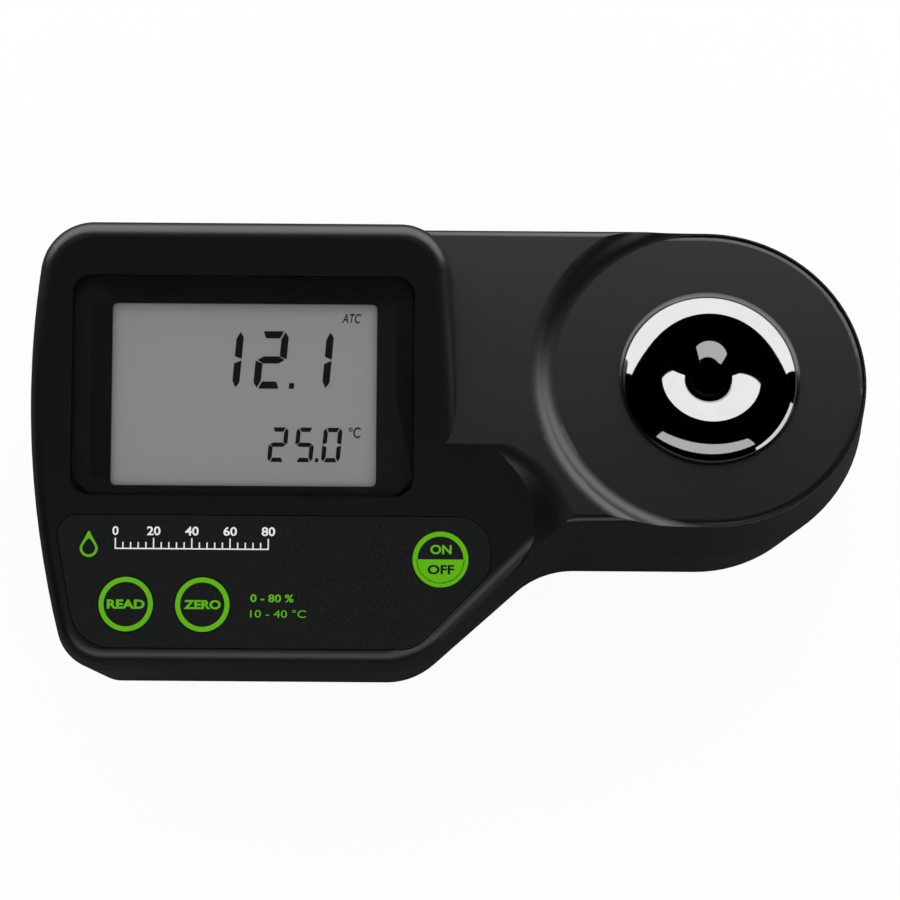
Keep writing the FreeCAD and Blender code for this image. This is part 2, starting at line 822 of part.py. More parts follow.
def make_scoop(face_top):
    """Make the hollow where the sloped face runs on under the neck's front edge."""
    reach = "scoop_edge_radius * tan(scoop_slope * 0.5 deg)"
    foot = "scoop_radius - scoop_depth / tan(scoop_slope * 1 deg)"
    points = [
        ("0", "neck_height - scoop_depth"),
        (foot, "neck_height - scoop_depth"),
        (f"scoop_radius - {reach} * cos(scoop_slope * 1 deg)", f"neck_height - {reach} * sin(scoop_slope * 1 deg)"),
        (f"scoop_radius + {reach}", "neck_height"),
        (f"scoop_radius + {reach}", "neck_height + scoop_depth"),
        ("0", "neck_height + scoop_depth"),
    ]
    bowl = put(turned("scoop_bowl", points, {2: ("scoop_edge_radius", -1)}), "scoop_centre_x", "scoop_centre_y")
    meeting = "face_line_y + (neck_rise - face_rise) / tan(face_tilt * 1 deg)"
    left = make("Part::Box", "scoop_left", Length="envelope", Width="envelope", Height="neck_height")
    put(left, "scoop_centre_x - envelope", f"{meeting} - envelope", "parting_height")
    front = make("Part::Box", "scoop_front", Length="envelope", Width="envelope", Height="neck_height")
    front_y = "scoop_centre_y - scoop_front_reach - envelope"
    put(front, f"scoop_centre_x + ({foot}) - envelope", front_y, "parting_height")
    behind = make("Part::Box", "block_room_behind", Length="envelope", Width="2 * envelope", Height="neck_height")
    put(behind, "scoop_centre_x - scoop_radius / 2 - envelope", "-1 * envelope", "parting_height")
    return cut("scoop", fuse("scoop_room", bowl, left, front, behind), face_top)


def make_step(head_top):
    """Make the soft step that leads from the neck down to the round head."""
    arc = "(step_half_width ^ 2 + (neck_rise / 2) ^ 2) / neck_rise"
    points = [
        ("0", "head_height - neck_edge_radius"),
        ("step_radius - step_half_width", "head_height - neck_edge_radius"),
        ("step_radius - step_half_width", "head_height"),
        ("step_radius", "head_height + neck_rise / 2"),
        ("step_radius + step_half_width", "neck_height"),
        ("step_radius + step_half_width", "neck_height + neck_rise"),
        ("0", "neck_height + neck_rise"),
    ]
    step = put(turned("step_dish", points, {2: (arc, 1), 3: (arc, -1)}), "head_x", "head_y")
    return cut("step_room", step, head_top)


def make_upper_form():
    """Make the upper shell's outer form: head, neck and sloped display block, with soft rims."""
    prism = extrude("upper_prism", case_outline, "head_height", "upper_draft")
    sharp_prism = extrude("sharp_prism", sharp_outline, "head_height", "upper_draft")
    under_face = below_face("under_face", "0")
    head = common("head_form", prism, slab("under_head", "head_height"))
    neck = common("neck_form", prism, slab("under_neck", "neck_height"))
    whole_face = common("face_form", prism, under_face)
    block_sides = common("block_sides", sharp_prism, left_of_block_wall("block_room", "0"),
                         before_block_back("block_back", "0"))
    document.recompute()
    up = FreeCAD.Vector(0, 0, 1)
    tilted = FreeCAD.Vector(0, -value_of("tilt_sin"), value_of("tilt_cos"))
    on_face = FreeCAD.Vector(0, value_of("face_line_y"), value_of("face_line_z"))
    head_spot, neck_spot = up * value_of("head_height"), up * value_of("neck_height")
    head = rounded("head_soft", head, rim_of(head, head_spot, up), "neck_edge_radius")
    neck = rounded("neck_soft", neck, rim_of(neck, neck_spot, up), "neck_edge_radius")
    whole_face = rounded("face_soft", whole_face, rim_of(whole_face, on_face, tilted), "face_edge_radius")
    right_edges = block_back_edges(block_sides, "block_wall_x")
    block_sides = rounded("block_corner", block_sides, right_edges, "block_corner_radius")
    left_edges = block_back_edges(block_sides, "-1 * case_length / 2")
    block_sides = rounded("block_back_corner", block_sides, left_edges, "back_corner_radius")
    block = common("block_form", block_sides, under_face)
    document.recompute()
    block = rounded("block_soft", block, rim_of(block, on_face, tilted), "face_edge_radius")
    neck = cut("neck_cut", neck, make_step(head), make_scoop(whole_face))
    return fuse("upper_form", neck, block)


def block_back_edges(piece, formula):
    """Find the block's upright edge at its back that is nearest to a place along its length."""
    place = number(formula)
    found = []
    for index, edge in enumerate(piece.Shape.Edges, start=1):
        bounds = edge.BoundBox
        tall = bounds.ZLength > value_of("head_height") / 2
        at_back = bounds.YMin > value_of("head_y")
        if tall and at_back and edge.Curve.TypeId != "Part::GeomCircle":
            found.append((abs(bounds.Center.x - place), index))
    return [min(found)[1]]


def make_upper_cavity():
    """Make the hollow inside the upper shell."""
    wall_line = inset("upper_wall_line", case_outline, "case_wall")
    prism = extrude("upper_cavity_prism", wall_line, "head_height", "upper_draft")
    under_face = below_face("under_face_wall", "face_wall")
    low = slab("under_ceiling", "head_ceiling")
    right = make("Part::Box", "right_of_scoop", Length="envelope", Width="2 * envelope", Height="head_ceiling")
    put(right, "scoop_centre_x + scoop_radius", "-1 * envelope", "0")
    block = common("block_cavity", left_of_block_wall("block_cavity_room", "case_wall"),
                   before_block_back("block_cavity_back", "case_wall"), under_face)
    rooms = fuse("cavity_rooms", block, common("low_cavity", low, under_face), right)
    return common("upper_cavity", prism, rooms)


def screw_places():
    """List where the casing screws stand."""
    reach = "head_screw_reach * cos(head_screw_angle * 1 deg)"
    swing = "head_screw_reach * sin(head_screw_angle * 1 deg)"
    return [
        ("back_left_screw_x", "back_screw_y"),
        ("front_left_screw_x", "front_screw_y"),
        ("front_right_screw_x", "front_screw_y"),
        ("neck_screw_x", "back_screw_y"),
        (f"head_x + {reach}", f"head_y + {swing}"),
        (f"head_x + {reach}", f"head_y - {swing}"),
    ]


def post_places():
    """List where the main board's posts stand on the sloped face."""
    places_on_face = []
    for x in ("post_left_x", "post_right_x"):
        for v in ("post_front_v", "post_back_v"):
            places_on_face.append((x, v))
    return places_on_face


def key_places():
    """List the keys with their places on the sloped face."""
    return {
        "read": ("read_key_x", "front_keys_v"),
        "zero": ("zero_key_x", "front_keys_v"),
        "power": ("power_key_x", "power_key_v"),
    }


def make_upper_shell():
    """Make the upper shell with its window seat, key holes, ring hole, screw bosses and board posts."""
    fillers = []
    for index, (x, y) in enumerate(screw_places()):
        fillers.append(cylinder(f"upper_boss_{index}", "boss_radius", "head_height", x, y, "parting_height"))
    for index, (x, v) in enumerate(post_places()):
        fillers.append(face_cylinder(f"board_post_{index}", "post_radius", "board_depth", x, v, "0"))
    hollow = cut("upper_hollow", make_upper_cavity(), *fillers)
    walls = cut("upper_walls", make_upper_form(), hollow)
    holes = [
        extrude("window_seat", put_on_face(draw_window("window_seat_line", "window_gap"), "0", "0", "0"),
                "window_floor", down=True),
        extrude("view_hole", put_on_face(draw_view("view_hole_line"), "0", "0", "0"), "2 * face_wall", down=True),
        extrude("overlay_seat", inset("overlay_seat_line", overlay_line, "-1 * overlay_gap"),
                "overlay_floor", down=True),
        cylinder("ring_hole", "ring_neck_radius + ring_neck_gap", "head_height", "head_x", "head_y", "parting_height"),
    ]
    for key, (x, v) in key_places().items():
        depth = "key_bottom + key_travel + key_floor_gap"
        holes.append(face_cylinder(f"{key}_seat", "key_radius + overlay_gap", depth, x, v, "0"))
        holes.append(face_cylinder(f"{key}_stem_hole", "stem_radius + stem_gap", "2 * face_wall", x, v, "0"))
    for index, (x, y) in enumerate(screw_places()):
        length = "screw_tip_height - parting_height + screw_hole_gap"
        holes.append(cylinder(f"thread_{index}", "screw_radius + thread_gap", length, x, y, "parting_height"))
    for index, (x, v) in enumerate(post_places()):
        length = "board_screw_length - board_thickness + screw_hole_gap"
        top = f"board_depth - ({length})"
        holes.append(face_cylinder(f"post_thread_{index}", "board_screw_radius + thread_gap", length, x, v, top))
    return node("upper_shell", cut("upper_shell", walls, *holes))


def draw_window(name, gap):
    """Draw the display window's outline on the sloped face, grown by a gap."""
    length, width = f"window_length + 2 * {gap}", f"window_width + 2 * {gap}"
    radius = f"window_corner_radius + {gap}"
    return rounded_rectangle(name, length, width, radius, "window_centre_x", "window_centre_v")


def draw_view(name):
    """Draw the part of the display that shows."""
    return rounded_rectangle(name, "view_length", "view_width", "view_corner_radius", "view_centre_x",
                             "view_centre_v")


def draw_overlay():
    """Draw the keypad overlay's outline on the sloped face."""
    corners = [
        ("overlay_left_front_x", "overlay_front_v", "overlay_radius_left_front"),
        ("overlay_cut_x", "overlay_front_v", "overlay_radius_cut_front"),
        ("overlay_right_x", "overlay_cut_v", "overlay_radius_cut_right"),
        ("overlay_right_x", "overlay_back_v", "overlay_radius_right_back"),
        ("overlay_left_back_x", "overlay_back_v", "overlay_radius_left_back"),
    ]
    return put_on_face(rounded_polygon("overlay_line", corners), "0", "0", "0")


def make_lower_form():
    """Make the lower shell's outer form with its soft bottom edge."""
    depth = "parting_height - foot_height"
    form = extrude("lower_prism", case_outline, depth, "lower_draft", down=True)
    document.recompute()
    up = FreeCAD.Vector(0, 0, 1)
    rim = rim_of(form, up * value_of("foot_height"), up)
    return rounded("lower_form", form, rim, "base_edge_radius")


def foot_places():
    """List where the rubber feet stand."""
    return [
        ("back_left_foot_x", "back_left_foot_y"),
        ("front_left_foot_x", "front_foot_y"),
        ("front_right_foot_x", "front_foot_y"),
        ("head_foot_x", "head_foot_y"),
    ]


def place_round_cover(piece, angle="0", z="0"):
    """Place a piece on the battery cover's axis, turned by an angle."""
    return put(piece, "cover_centre_x", "cover_centre_y", z, "0; 0; 1", angle)


def make_lug_slot(index):
    """Make one ramped slot for a cover lug, with the way that the lug comes in."""
    around = f"360 / {LUG_COUNT} * {index}"
    sector = make("Part::Cylinder", f"slot_sector_{index}", Radius="lug_radius + lug_gap", Height="battery_bottom",
                  Angle="cover_turn + lug_angle + 2 * lug_slack")
    place_round_cover(sector, f"{around} - cover_turn - lug_angle / 2 - lug_slack")
    ramp = make("Part::Box", f"slot_ramp_{index}", Length="2 * lug_radius", Width="4 * lug_radius",
                Height="ramp_thickness")
    middle = "cover_neck_top - lug_height / 2 - cover_drop / 2"
    spot = spelled(f"vector(cover_centre_x; cover_centre_y; {middle})")
    turn = spelled(f"rotation(vector(0; 0; 1); {around} - cover_turn / 2)")
    lean = spelled("placement(vector(0; 0; 0); rotation(vector(1; 0; 0); ramp_lean))")
    corner = spelled("placement(vector(0; -2 * lug_radius; -0.5 * ramp_thickness); rotation(0; 0; 0))")
    ramp.setExpression("Placement", f"placement({spot}; {turn}) * {lean} * {corner}")
    way_in = make("Part::Cylinder", f"slot_way_in_{index}", Radius="lug_radius + lug_gap",
                  Height="cover_neck_top - lug_height / 2 - cover_drop", Angle="lug_angle + 2 * lug_slack")
    place_round_cover(way_in, f"{around} - cover_turn - lug_angle / 2 - lug_slack")
    core = place_round_cover(make("Part::Cylinder", f"slot_core_{index}", Radius="cover_neck_radius",
                                  Height="battery_bottom"))
    room = fuse(f"slot_room_{index}", common(f"slot_run_{index}", sector, ramp), way_in)
    return cut(f"lug_slot_{index}", room, core)


def make_lower_shell():
    """Make the lower shell with its battery bay, cover collar, screw bosses, feet seats and seal groove."""
    form = make_lower_form()
    wall_line = inset("lower_wall_line", case_outline, "case_wall")
    hollow = extrude("lower_hollow_prism", wall_line, "parting_height - floor_height", "lower_draft", down=True)
    centre = ("cover_centre_x", "cover_centre_y")
    fillers = [cylinder("collar", "collar_outer_radius", "battery_bottom", *centre, "0"),
               box("bay_outside", "snap_right - battery_left + 2 * (bay_gap + bay_wall)",
                   "battery_width + 2 * (bay_gap + bay_wall)", "bay_ceiling + bay_wall",
                   "(snap_right + battery_left) / 2", "cover_centre_y", "0")]
    for index, (x, y) in enumerate(screw_places()):
        fillers.append(cylinder(f"lower_boss_{index}", "boss_radius", "parting_height", x, y, "0"))
    walls = cut("lower_walls", form, cut("lower_hollow", hollow, *fillers))
    holes = [
        cylinder("cover_seat", "cover_radius + cover_gap", "shoulder_height", *centre, "0"),
        cylinder("collar_bore", "collar_inner_radius", "battery_bottom", *centre, "0"),
        box("bay_inside", "snap_right - battery_left + 2 * bay_gap", "battery_width + 2 * bay_gap",
            "bay_ceiling - battery_bottom", "(snap_right + battery_left) / 2", "cover_centre_y", "battery_bottom"),
        case_seal,
    ]
    for index in range(LUG_COUNT):
        holes.append(make_lug_slot(index))
    for index, (x, y) in enumerate(screw_places()):
        length = "parting_height - screw_seat_height"
        holes.append(cylinder(f"shank_hole_{index}", "screw_radius + screw_hole_gap", length, x, y,
                              "screw_seat_height"))
        holes.append(cylinder(f"driver_hole_{index}", "driver_hole_radius", "screw_seat_height", x, y, "0"))
    for index, (x, y) in enumerate(foot_places()):
        holes.append(cylinder(f"foot_seat_{index}", "foot_radius + foot_gap", "foot_height + foot_seat_depth",
                              x, y, "0"))
    for index, y in enumerate(lead_rows()):
        holes.append(cylinder(f"lead_hole_{index}", "lead_radius + lead_hole_gap", "parting_height",
                              "(snap_left + snap_right) / 2", y, "battery_top"))
    return node("lower_shell", cut_in_turn("lower_shell", walls, holes))


def lead_rows():
    """List the y places of the battery's terminals and leads."""
    return ["cover_centre_y - terminal_spacing / 2", "cover_centre_y + terminal_spacing / 2"]


def make_case_seal():
    """Make the cord seal that lies in a groove all round the shells' joint."""
    outside = inset("seal_outer_line", case_outline, "seal_inset")
    inside = inset("seal_inner_line", case_outline, "seal_inset + seal_width")
    outer = extrude("seal_outer", outside, "seal_height", down=True)
    inner = extrude("seal_inner", inside, "seal_height", down=True)
    return node("case_seal", cut("case_seal", outer, inner))


def make_case_screws():
    """Make the screws that hold the two shells together."""
    screws = []
    for index, (x, y) in enumerate(screw_places()):
        head_foot = "screw_seat_height - screw_head_height"
        head = cylinder(f"screw_head_{index}", "screw_head_radius", "screw_head_height", x, y, head_foot)
        shank = cylinder(f"screw_shank_{index}", "screw_radius", "screw_length", x, y, "screw_seat_height")
        recess = cylinder(f"screw_drive_{index}", "screw_radius", "screw_head_height / 2", x, y, head_foot)
        screws.append(cut(f"case_screw_{index}", fuse(f"case_screw_blank_{index}", head, shank), recess))
    return node("case_screws", separate("case_screws", screws))


def make_feet():
    """Make the rubber feet."""
    feet = []
    for index, (x, y) in enumerate(foot_places()):
        points = [
            ("0", "0"),
            ("foot_radius - foot_seat_depth / 2", "0"),
            ("foot_radius", "foot_seat_depth / 2"),
            ("foot_radius", "foot_height + foot_seat_depth"),
            ("0", "foot_height + foot_seat_depth"),
        ]
        feet.append(put(turned(f"foot_{index}", points), x, y))
    return node("rubber_feet", separate("rubber_feet", feet))


# Display and keys


def make_display():
    """Make the window, its gasket, the display glass, its frame and its contact strips."""
    pane = draw_window("window_line", "0")
    window = extrude("display_window", put_on_face(pane, "0", "0", "window_sink"), "window_thickness", down=True)
    node("display_window", window)
    gasket_top = "window_sink + window_thickness"
    gasket_line = put_on_face(draw_window("gasket_line", "0"), "0", "0", gasket_top)
    view_line = put_on_face(draw_view("gasket_view_line"), "0", "0", gasket_top)
    gasket = cut("window_gasket", extrude("gasket_pad", gasket_line, "gasket_thickness", down=True),
                 extrude("gasket_view", view_line, "gasket_thickness", down=True))
    node("window_gasket", gasket)
    centre = ("view_centre_x", "view_centre_v")
    node("lcd_glass", face_box("lcd_glass", "lcd_length", "lcd_width", "lcd_thickness", *centre, "lcd_top"))
    outer = face_box("lcd_frame_body", "lcd_length + 2 * (lcd_gap + lcd_frame_wall)",
                     "lcd_width + 2 * (lcd_gap + lcd_frame_wall)", "board_depth - lcd_top", *centre, "lcd_top")
    inner = face_box("lcd_frame_room", "lcd_length + 2 * lcd_gap", "lcd_width + 2 * lcd_gap",
                     "board_depth - lcd_top", *centre, "lcd_top")
    node("lcd_frame", cut("lcd_frame", outer, inner))
    strips = []
    for side in (-1, 1):
        v = f"view_centre_v + {side} * (lcd_width / 2 - strip_margin - strip_width / 2)"
        strips.append(face_box(f"strip_{side + 1}", "strip_length", "strip_width", "board_depth - lcd_bottom",
                               "view_centre_x", v, "lcd_bottom"))
    node("contact_strips", separate("contact_strips", strips))


def make_overlay():
    """Make the keypad overlay with a hole for each key."""
    blank = extrude("overlay_blank", overlay_line, "overlay_floor", down=True)
    holes = [above_depth("overlay_air", "overlay_sink")]
    for key, (x, v) in key_places().items():
        holes.append(face_cylinder(f"{key}_overlay_hole", "key_radius + key_gap", "2 * overlay_floor", x, v, "0"))
    node("keypad_overlay", cut("keypad_overlay", blank, *holes))


def above_depth(name, depth):
    """Make a block that fills everything above a depth under the sloped face."""
    return face_box(name, "2 * envelope", "2 * envelope", "envelope", "0", "0", f"({depth}) - envelope")


def make_keys():
    """Make each key: its cap with a stem, the switch under it and the switch's plunger."""
    switches = []
    for key, (x, v) in key_places().items():
        cap = face_cylinder(f"{key}_cap", "key_radius", "key_thickness", x, v, "overlay_sink")
        stem = face_cylinder(f"{key}_stem", "stem_radius", "stem_length", x, v, "key_bottom")
        node(f"{key}_key", fuse(f"{key}_key", cap, stem))
        plunger = face_cylinder(f"{key}_plunger", "plunger_radius", "plunger_length", x, v, "stem_tip")
        node(f"{key}_plunger", plunger)
        body = face_box(f"{key}_switch_body", "switch_size", "switch_size", "switch_height", x, v, "switch_top")
        depth = "stem_tip + plunger_length + key_travel + plunger_gap"
        well = face_cylinder(f"{key}_switch_well", "plunger_radius + plunger_gap", f"{depth} - switch_top", x, v,
                             "switch_top")
        switches.append(cut(f"{key}_switch", body, well))
    node("key_switches", separate("key_switches", switches))


# Main board


def make_main_board():
    """Make the main board, which follows the casing and clears the screw bosses."""
    width = "board_back_v - board_front_v"
    middle = "(board_back_v + board_front_v) / 2"
    sheet_size = ("envelope", width, "board_thickness")
    blank = face_box("board_blank", *sheet_size, "board_left_x + envelope / 2", middle, "board_depth")
    casing = extrude("board_casing_room", inset("board_line", case_outline, "case_wall + board_gap"),
                     "head_height", "upper_draft")
    block = left_of_block_wall("board_block_room", "case_wall + board_gap")
    tab = face_box("board_tab", "tab_right_x - post_right_x", "tab_back_v - tab_front_v", "board_thickness",
                   "(tab_right_x + post_right_x) / 2", "(tab_back_v + tab_front_v) / 2", "board_depth")
    trimmed = common("board_trimmed", blank, block)
    plate = common("board_plate", fuse("board_sheet", trimmed, tab), casing)
    holes = []
    for index, (x, y) in enumerate(screw_places()):
        holes.append(cylinder(f"board_notch_{index}", "boss_radius + board_gap", "head_height", x, y,
                              "parting_height - board_thickness"))
    for index, (x, v) in enumerate(post_places()):
        holes.append(face_cylinder(f"board_hole_{index}", "board_screw_radius + board_screw_gap",
                                   "2 * board_bottom", x, v, "0"))
    node("main_board", cut("main_board", plate, *holes))


def make_board_screws():
    """Make the screws that hold the main board to its posts."""
    screws = []
    for index, (x, v) in enumerate(post_places()):
        shank_top = "board_bottom - board_screw_length"
        shank = face_cylinder(f"board_shank_{index}", "board_screw_radius", "board_screw_length", x, v, shank_top)
        head = face_cylinder(f"board_head_{index}", "board_screw_head_radius", "board_screw_head_height", x, v,
                             "board_bottom")
        screws.append(fuse(f"board_screw_{index}", shank, head))
    node("board_screws", separate("board_screws", screws))


def make_board_parts():
    """Make the chips and the two connectors under the main board."""
    processor = face_box("processor", "processor_size", "processor_size", "processor_height", "processor_x",
                         "processor_v", "board_bottom")
    node("processor", processor)
    chips = []
    for index in range(CHIP_COUNT):
        chips.append(face_box(f"chip_{index}", "chip_length", "chip_width", "chip_height",
                              f"chip_row_x + {index} * chip_pitch", "chip_row_v", "board_bottom"))
    node("analog_chips", separate("analog_chips", chips))
    node("battery_connector", face_box("battery_connector", "plug_length", "plug_width", "plug_height", "plug_x",
                                       "plug_v", "board_bottom"))
    node("cable_connector", face_box("cable_connector", "socket_length", "socket_width", "socket_height",
                                     "socket_x", "socket_v", "board_bottom"))


# Sample well and optics


def make_sample_well():
    """Make the polished ring, its seal, the prism's seal and the prism."""
    web = "prism_top + prism_seal_height"
    points = [
        ("ring_neck_radius", "head_ceiling"),
        ("ring_neck_radius", "head_height"),
        ("ring_radius", "head_height"),
        ("ring_radius", "head_height + ring_edge_height"),
        ("ring_crest_radius", "head_height + ring_crest_rise"),
        ("ring_shoulder_radius", "head_height + ring_shoulder_rise"),
        ("ring_lip_radius", "head_height + ring_lip_rise"),
        ("well_radius", "head_height + ring_lip_rise + well_radius - ring_lip_radius"),
        ("well_radius", web),
        ("prism_pocket_radius", web),
        ("prism_pocket_radius", "head_ceiling"),
    ]
    arcs = {3: ("ring_dome_radius", 1), 4: ("ring_brow_radius", 1), 5: ("ring_funnel_radius", 1)}
    ring = put(turned("ring_blank", points, arcs), "head_x", "head_y")
    groove = tube("ring_groove", "ring_seal_inner_radius", "ring_seal_outer_radius", "ring_seal_height",
                  "head_x", "head_y", "head_height")
    holes = [groove]
    for index, (x, y) in enumerate(well_screw_places()):
        length = "well_screw_length - flange_thickness + screw_hole_gap"
        holes.append(cylinder(f"well_thread_{index}", "well_screw_radius + thread_gap", length, x, y,
                              "head_ceiling"))
    node("sample_ring", cut("sample_ring", ring, *holes))
    node("ring_seal", tube("ring_seal", "ring_seal_inner_radius", "ring_seal_outer_radius", "ring_seal_height",
                           "head_x", "head_y", "head_height"))
    node("prism_seal", tube("prism_seal", "prism_seal_inner_radius", "prism_seal_outer_radius",
                            "prism_seal_height", "head_x", "head_y", "prism_top"))
    node("prism", make_prism("prism"))


def make_prism(name):
    """Make the prism: a block whose ends slope inwards towards its foot."""
    piece = document.addObject("Part::Wedge", name)
    narrowing = "prism_height / tan(prism_slope * 1 deg)"
    bind(piece, Xmin=narrowing, Xmax=f"prism_length - {narrowing}", X2min="0", X2max="prism_length")
    bind(piece, Ymin="0", Ymax="prism_height", Zmin="0", Zmax="prism_width", Z2min="0", Z2max="prism_width")
    return put(piece, "head_x - prism_length / 2", "head_y + prism_width / 2", "prism_foot", "1; 0; 0", "90")


def well_screw_places():
    """List where the screws stand that hold the ring to the optics housing."""
    spots = []
    reach = "well_screw_circle * cos(well_screw_angle * 1 deg)"
    swing = "well_screw_circle * sin(well_screw_angle * 1 deg)"
    for side in (-1, 1):
        for end in (-1, 1):
            spots.append((f"head_x + {side} * {reach}", f"head_y + {end} * {swing}"))
    return spots


def make_optics_housing():
    """Make the housing that holds the prism and both light paths."""
    flange = cylinder("housing_flange", "flange_radius", "flange_thickness", "head_x", "head_y",
                      "head_ceiling - flange_thickness")
    core = box("housing_core", "core_length", "core_width", "core_height", "head_x", "head_y",
               "head_ceiling - core_height")
    arms, beams = [], []
    for side in (-1, 1):
        arms.append(beam_box(f"housing_arm_{side + 1}", side, "arm_size", "arm_size", "0", "arm_reach"))
        beams.append(beam_cylinder(f"housing_beam_{side + 1}", side, "beam_radius", "0", "arm_reach"))
    holes = [make_prism("prism_pocket")] + beams
    for index, (x, y) in enumerate(well_screw_places()):
        holes.append(cylinder(f"flange_hole_{index}", "well_screw_radius + board_screw_gap", "head_height", x, y,
                              "parting_height"))
    holes.append(cylinder("thermistor_hole", "thermistor_radius + thread_gap", "head_height", "head_x",
                          "head_y + thermistor_reach", "parting_height"))
    for side in (-1, 1):
        for index, (reach, across) in enumerate(optics_screw_places()):
            holes.append(beam_screw(f"optics_thread_{side + 1}_{index}", side, "optics_screw_radius + thread_gap",
                                    "arm_reach - optics_screw_length + optics_board_thickness - screw_hole_gap",
                                    "optics_screw_length", reach, across))
    top = slab("housing_room", "head_ceiling")
    body = common("housing_body", fuse("housing_blank", flange, core, *arms), top)
    node("optics_housing", cut("optics_housing", body, *holes))


def optics_screw_places():
    """List the screws of an optics board, as (up, across) from the light path."""
    return [("optics_screw_reach", "optics_screw_reach"), ("-1 * optics_screw_reach", "-1 * optics_screw_reach")]


def beam_screw(name, side, radius, start, length, up, across):
    """Make a cylinder parallel to a light path, moved up its slope and across it."""
    piece = make("Part::Cylinder", name, Radius=radius, Height=length)
    x = f"head_x + {side} * (prism_face_x + ({start}) * beam_out + ({up}) * beam_down)"
    z = f"prism_face_z - ({start}) * beam_down + ({up}) * beam_out"
    return put(piece, x, f"head_y + ({across})", z, "0; 1; 0", f"{side} * beam_turn")


def make_optics():
    """Make the lamp side and the sensor side of the optics."""
    node("collimating_lens", beam_cylinder("collimating_lens", 1, "beam_radius", "collimator_start",
                                           "lens_thickness"))
    disc = beam_cylinder("aperture_disc", 1, "beam_radius", "aperture_start", "aperture_thickness")
    hole = beam_cylinder("aperture_hole", 1, "aperture_hole_radius", "aperture_start", "aperture_thickness")
    node("aperture", cut("aperture", disc, hole))
    start = "arm_reach - led_length"
    stem = beam_cylinder("led_stem", 1, "led_radius", f"{start} + led_radius", "led_length - led_radius")
    dome = make("Part::Sphere", "led_dome", Radius="led_radius")
    put(dome, f"head_x + prism_face_x + ({start} + led_radius) * beam_out", "head_y",
        f"prism_face_z - ({start} + led_radius) * beam_down")
    collar = beam_cylinder("led_collar", 1, "led_flange_radius", "arm_reach - led_flange_height",
                           "led_flange_height")
    node("led", fuse("led", stem, dome, collar))
    node("imaging_lens", beam_cylinder("imaging_lens", -1, "beam_radius", "imager_start", "lens_thickness"))
    node("image_sensor", beam_box("image_sensor", -1, "sensor_width", "sensor_length",
                                  "arm_reach - sensor_thickness", "sensor_thickness"))
    screws = []
    for side, name in ((1, "led_board"), (-1, "sensor_board")):
        plate = beam_box(name + "_plate", side, "optics_board_height", "optics_board_width", "arm_reach",
                         "optics_board_thickness")
        holes = []
        for index, (up, across) in enumerate(optics_screw_places()):
            holes.append(beam_screw(f"{name}_hole_{index}", side, "optics_screw_radius + board_screw_gap",
                                    "arm_reach", "optics_board_thickness", up, across))
            shank = beam_screw(f"{name}_shank_{index}", side, "optics_screw_radius",
                               "arm_reach - optics_screw_length + optics_board_thickness", "optics_screw_length",
                               up, across)
            head = beam_screw(f"{name}_head_{index}", side, "optics_screw_head_radius",
                              "arm_reach + optics_board_thickness", "optics_screw_head_height", up, across)
            screws.append(fuse(f"{name}_screw_{index}", shank, head))
        node(name, cut(name, plate, *holes))
    node("optics_screws", separate("optics_screws", screws))
    node("temperature_sensor", cylinder("temperature_sensor", "thermistor_radius", "thermistor_length", "head_x",
                                        "head_y + thermistor_reach", "head_ceiling - thermistor_length"))


def make_well_screws():
    """Make the screws that clamp the ring and the optics housing to the upper shell."""
    screws = []
    for index, (x, y) in enumerate(well_screw_places()):
        seat = "head_ceiling - flange_thickness"
        shank = cylinder(f"well_shank_{index}", "well_screw_radius", "well_screw_length", x, y, seat)
        head = cylinder(f"well_head_{index}", "well_screw_head_radius", "well_screw_head_height", x, y,
                        f"{seat} - well_screw_head_height")
        screws.append(fuse(f"well_screw_{index}", shank, head))
    node("well_screws", separate("well_screws", screws))


# Battery


def make_battery():
    """Make the battery with its terminals, the snap on them and the foam pad that holds it down."""
    centre_x = "(battery_left + battery_right) / 2"
    body = box("battery_body", "battery_length", "battery_width", "battery_height", centre_x, "cover_centre_y",
               "battery_bottom")
    middle = "battery_bottom + battery_height / 2"
    terminals = []
    for index, y in enumerate(lead_rows()):
        stud = make("Part::Cylinder", f"terminal_{index}", Radius="terminal_radius", Height="terminal_length")
        terminals.append(put(stud, "battery_right", y, middle, "0; 1; 0", "90"))
    node("battery", fuse("battery", body, *terminals))
    node("battery_snap", box("battery_snap", "snap_thickness", "snap_width", "snap_height",
                             "snap_left + snap_thickness / 2", "cover_centre_y", f"{middle} - snap_height / 2"))
    node("battery_pad", box("battery_pad", "battery_length - 2 * pad_margin", "battery_width - 2 * pad_margin",
                            "pad_thickness", centre_x, "cover_centre_y", "battery_top"))


